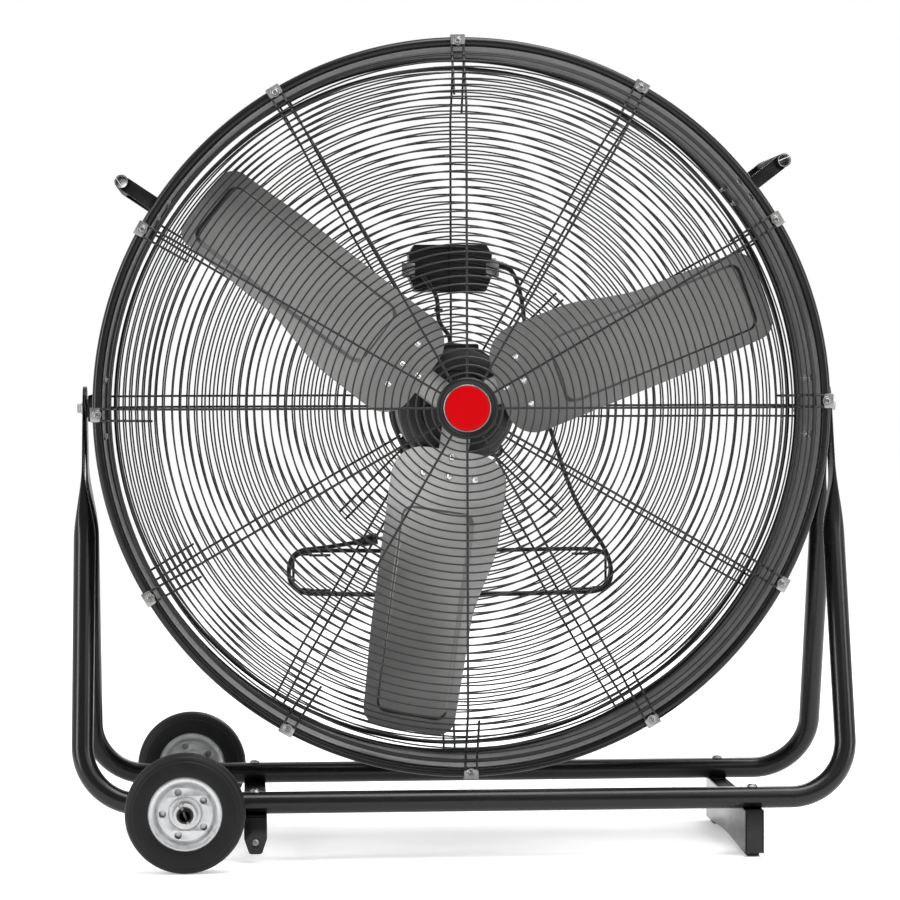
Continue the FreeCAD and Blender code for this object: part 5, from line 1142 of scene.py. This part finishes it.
def terminal_cover():
    """Cap on the motor shell where the lead goes in."""
    seat, left, right, top = MOTOR_RADIUS + 0.1, -40.0, 36.0, 90.0
    under = [(x, math.sqrt(seat ** 2 - x ** 2)) for x in
             (left + (right - left) * k / 16 for k in range(17))]
    outline = under + rounded([(right, 80), (right, top), (left, top), (left, 80)], 4.0)[1:-1]
    cover = plate(outline, 42.0, bevel=0.8).at(shift(0, 149, AXIS_HEIGHT) @ FRONT)
    eye = lathe(rounded([(3.3, 0), (5.4, 0), (5.4, 2.2), (3.3, 2.2)], 0.5, 2), 32)
    eye = eye.at(shift(-4, 132, AXIS_HEIGHT + top))
    piece("lead_cover", [cover, eye], "drum", "motor_paint", ["terminal_cover"])


def hooks():
    """Bent wires on the rear guard that the power cord is wound round."""
    base = GUARD + STACK + RING_WIRE + 2.02
    rise, outer, spread, drop = 25.7, 24.0, 207.0, 243.75
    tip = base + 34
    wires = []
    for sign in (-1, 1):
        half = [(-sign * 30, base, rise), (0, base, rise), (0, base + 22, rise), (sign * outer, tip, rise)]
        shape = half + [(x, y, -z) for x, y, z in reversed(half)]
        wires.append(tube(bent(shape, 5.0), 2.0, 12).at(shift(sign * spread, 0, AXIS_HEIGHT - drop)))
    piece("hook_wires", wires, "drum", "guard_wire", ["cord_hooks"], sharp=60)


# ---------------------------------------------------------------- supply cord

CORD_ROUTE = [
    (0.07004, 0.203, 0.821), (0.084, 0.203, 0.8195), (0.096, 0.2025, 0.807), (0.103, 0.201, 0.786),
    (0.108, 0.198, 0.758), (0.112, 0.194, 0.718), (0.120, 0.190, 0.668), (0.135, 0.188, 0.616),
    (0.153, 0.188, 0.561), (0.172, 0.188, 0.502), (0.196, 0.188, 0.449),
]
LOWER_LAP = [(0.238, 0.38885), (0.2355, 0.33925), (0.165, 0.33825), (0.088, 0.33625), (0.0, 0.33775),
             (-0.086, 0.33575), (-0.165, 0.33825), (-0.238, 0.33925), (-0.238, 0.40125)]
UPPER_LAP = [(-0.165, 0.40225), (-0.080, 0.40025), (0.0, 0.40275), (0.084, 0.40075), (0.167, 0.40275),
             (0.238, 0.40125)]
LAST_RUN = [(-0.183, 0.40525), (-0.143, 0.41225)]
CORD_RADIUS = 0.0032


def cord_points():
    """Down from the switch box, then one and a half laps of the hooks, each behind the last."""
    points = list(CORD_ROUTE)
    for lap, station in ((LOWER_LAP, 0.188), (UPPER_LAP, 0.1948), (LOWER_LAP[1:], 0.2016),
                         (LAST_RUN, 0.2084)):
        points += [(x, station, z) for x, z in lap]
    return points


def cord_curve(name, bevel):
    data = bpy.data.curves.new(name, "CURVE")
    data.dimensions = "3D"
    data.resolution_u = 10
    data.bevel_depth = bevel
    data.bevel_resolution = 5
    data.use_fill_caps = True
    points = cord_points()
    spline = data.splines.new("NURBS")
    spline.points.add(len(points) - 1)
    for spot, (x, y, z) in zip(spline.points, points):
        spot.co = (x, y, z, 1)
    spline.order_u = 3
    spline.use_endpoint_u = True
    return data


def cord():
    bare = bpy.data.objects.new("cord_line", cord_curve("cord_line", 0.0))
    mesh = bpy.data.meshes.new_from_object(bare)
    line = [v.co / MM for v in mesh.vertices]
    bpy.data.meshes.remove(mesh)
    bpy.data.objects.remove(bare)
    if (line[0] - Vector(CORD_ROUTE[0]) / MM).length > 1:
        line.reverse()
    flex = add(bpy.data.objects.new("supply_cord", cord_curve("supply_cord", CORD_RADIUS)))
    flex.data.materials.append(LOOKS["cord_jacket"])
    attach(flex, "drum")
    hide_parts("power_cord")
    relief_path, walked = [line[0]], 0.0
    for before, here in zip(line, line[1:]):
        walked += (here - before).length
        relief_path.append(here)
        if walked > 24:
            break
    count = len(relief_path) - 1
    radii = [6.2 - 2.6 * k / count + (0.35 if k % 2 else -0.15) for k in range(count + 1)]
    relief = piece("strain_relief", tube(relief_path, radii, 20), "drum", "black_plastic", sharp=60)
    end = line[-1]
    heading = (line[-1] - line[-2]).normalized()
    place = shift(*end) @ along(heading)
    body = [lathe(rounded([(3.2, 0), (4.2, 0), (4.8, 6), (5.0, 12), (3.2, 12)], 0.4, 2), 32)]
    grip = []
    for k in range(13):
        z = 12 + 24 * k / 12
        swell = 1 + 0.05 * math.sin(math.pi * k / 2)
        grip.append([Vector((x * swell, y, z)) for x, y in circle(0, 0, 8.9 * 0.95, 32)])
    body.append(skin(grip))
    plug = piece("plug_body", together(body).at(place), "drum", "black_plastic", ["cord_plug"])
    side = Vector((0, 1, 0))
    pins = []
    for offset in (-6, 6):
        base = end + heading * 35.5 + side * offset
        pins.append(tube([base, base + heading * 16.5, base + heading * 18.3], [2.0, 2.0, 1.2], 16))
    contacts = piece("plug_pins", pins, "drum", "shaft_steel")


# ---------------------------------------------------------------- CAD nodes that stay

KEPT = {
    "rotor_shaft": "shaft_steel", "rotor_core": "lamination", "stator_core": "lamination",
    "stator_windings": "copper", "motor_bearings": "shaft_steel", "pivot_spacers": "spacer",
    "axle_washers": "galvanised",
}


def keep_nodes():
    for name, look in KEPT.items():
        mesh = NODES[name].data
        mesh.materials.clear()
        mesh.materials.append(LOOKS[look])


aim_camera()
cord()
studio()
drum()
wall_screws()
pivot_brackets()
handles()
guard("front", -1, 48.0, 30.0)
guard("rear", 1, 101.0, 86.0, 112.0)
struts()
clips()
badge()
motor()
rotor()
frame_tube("front_frame", -1, 525.5)
frame_tube("rear_frame", 1, 522.5)
braces()
foot_bar()
foot_pads()
stand_fasteners()
wheel("front", -1)
wheel("rear", 1)
axle_parts()
switch_box()
knob()
glands_and_lead()
terminal_cover()
hooks()
keep_nodes()
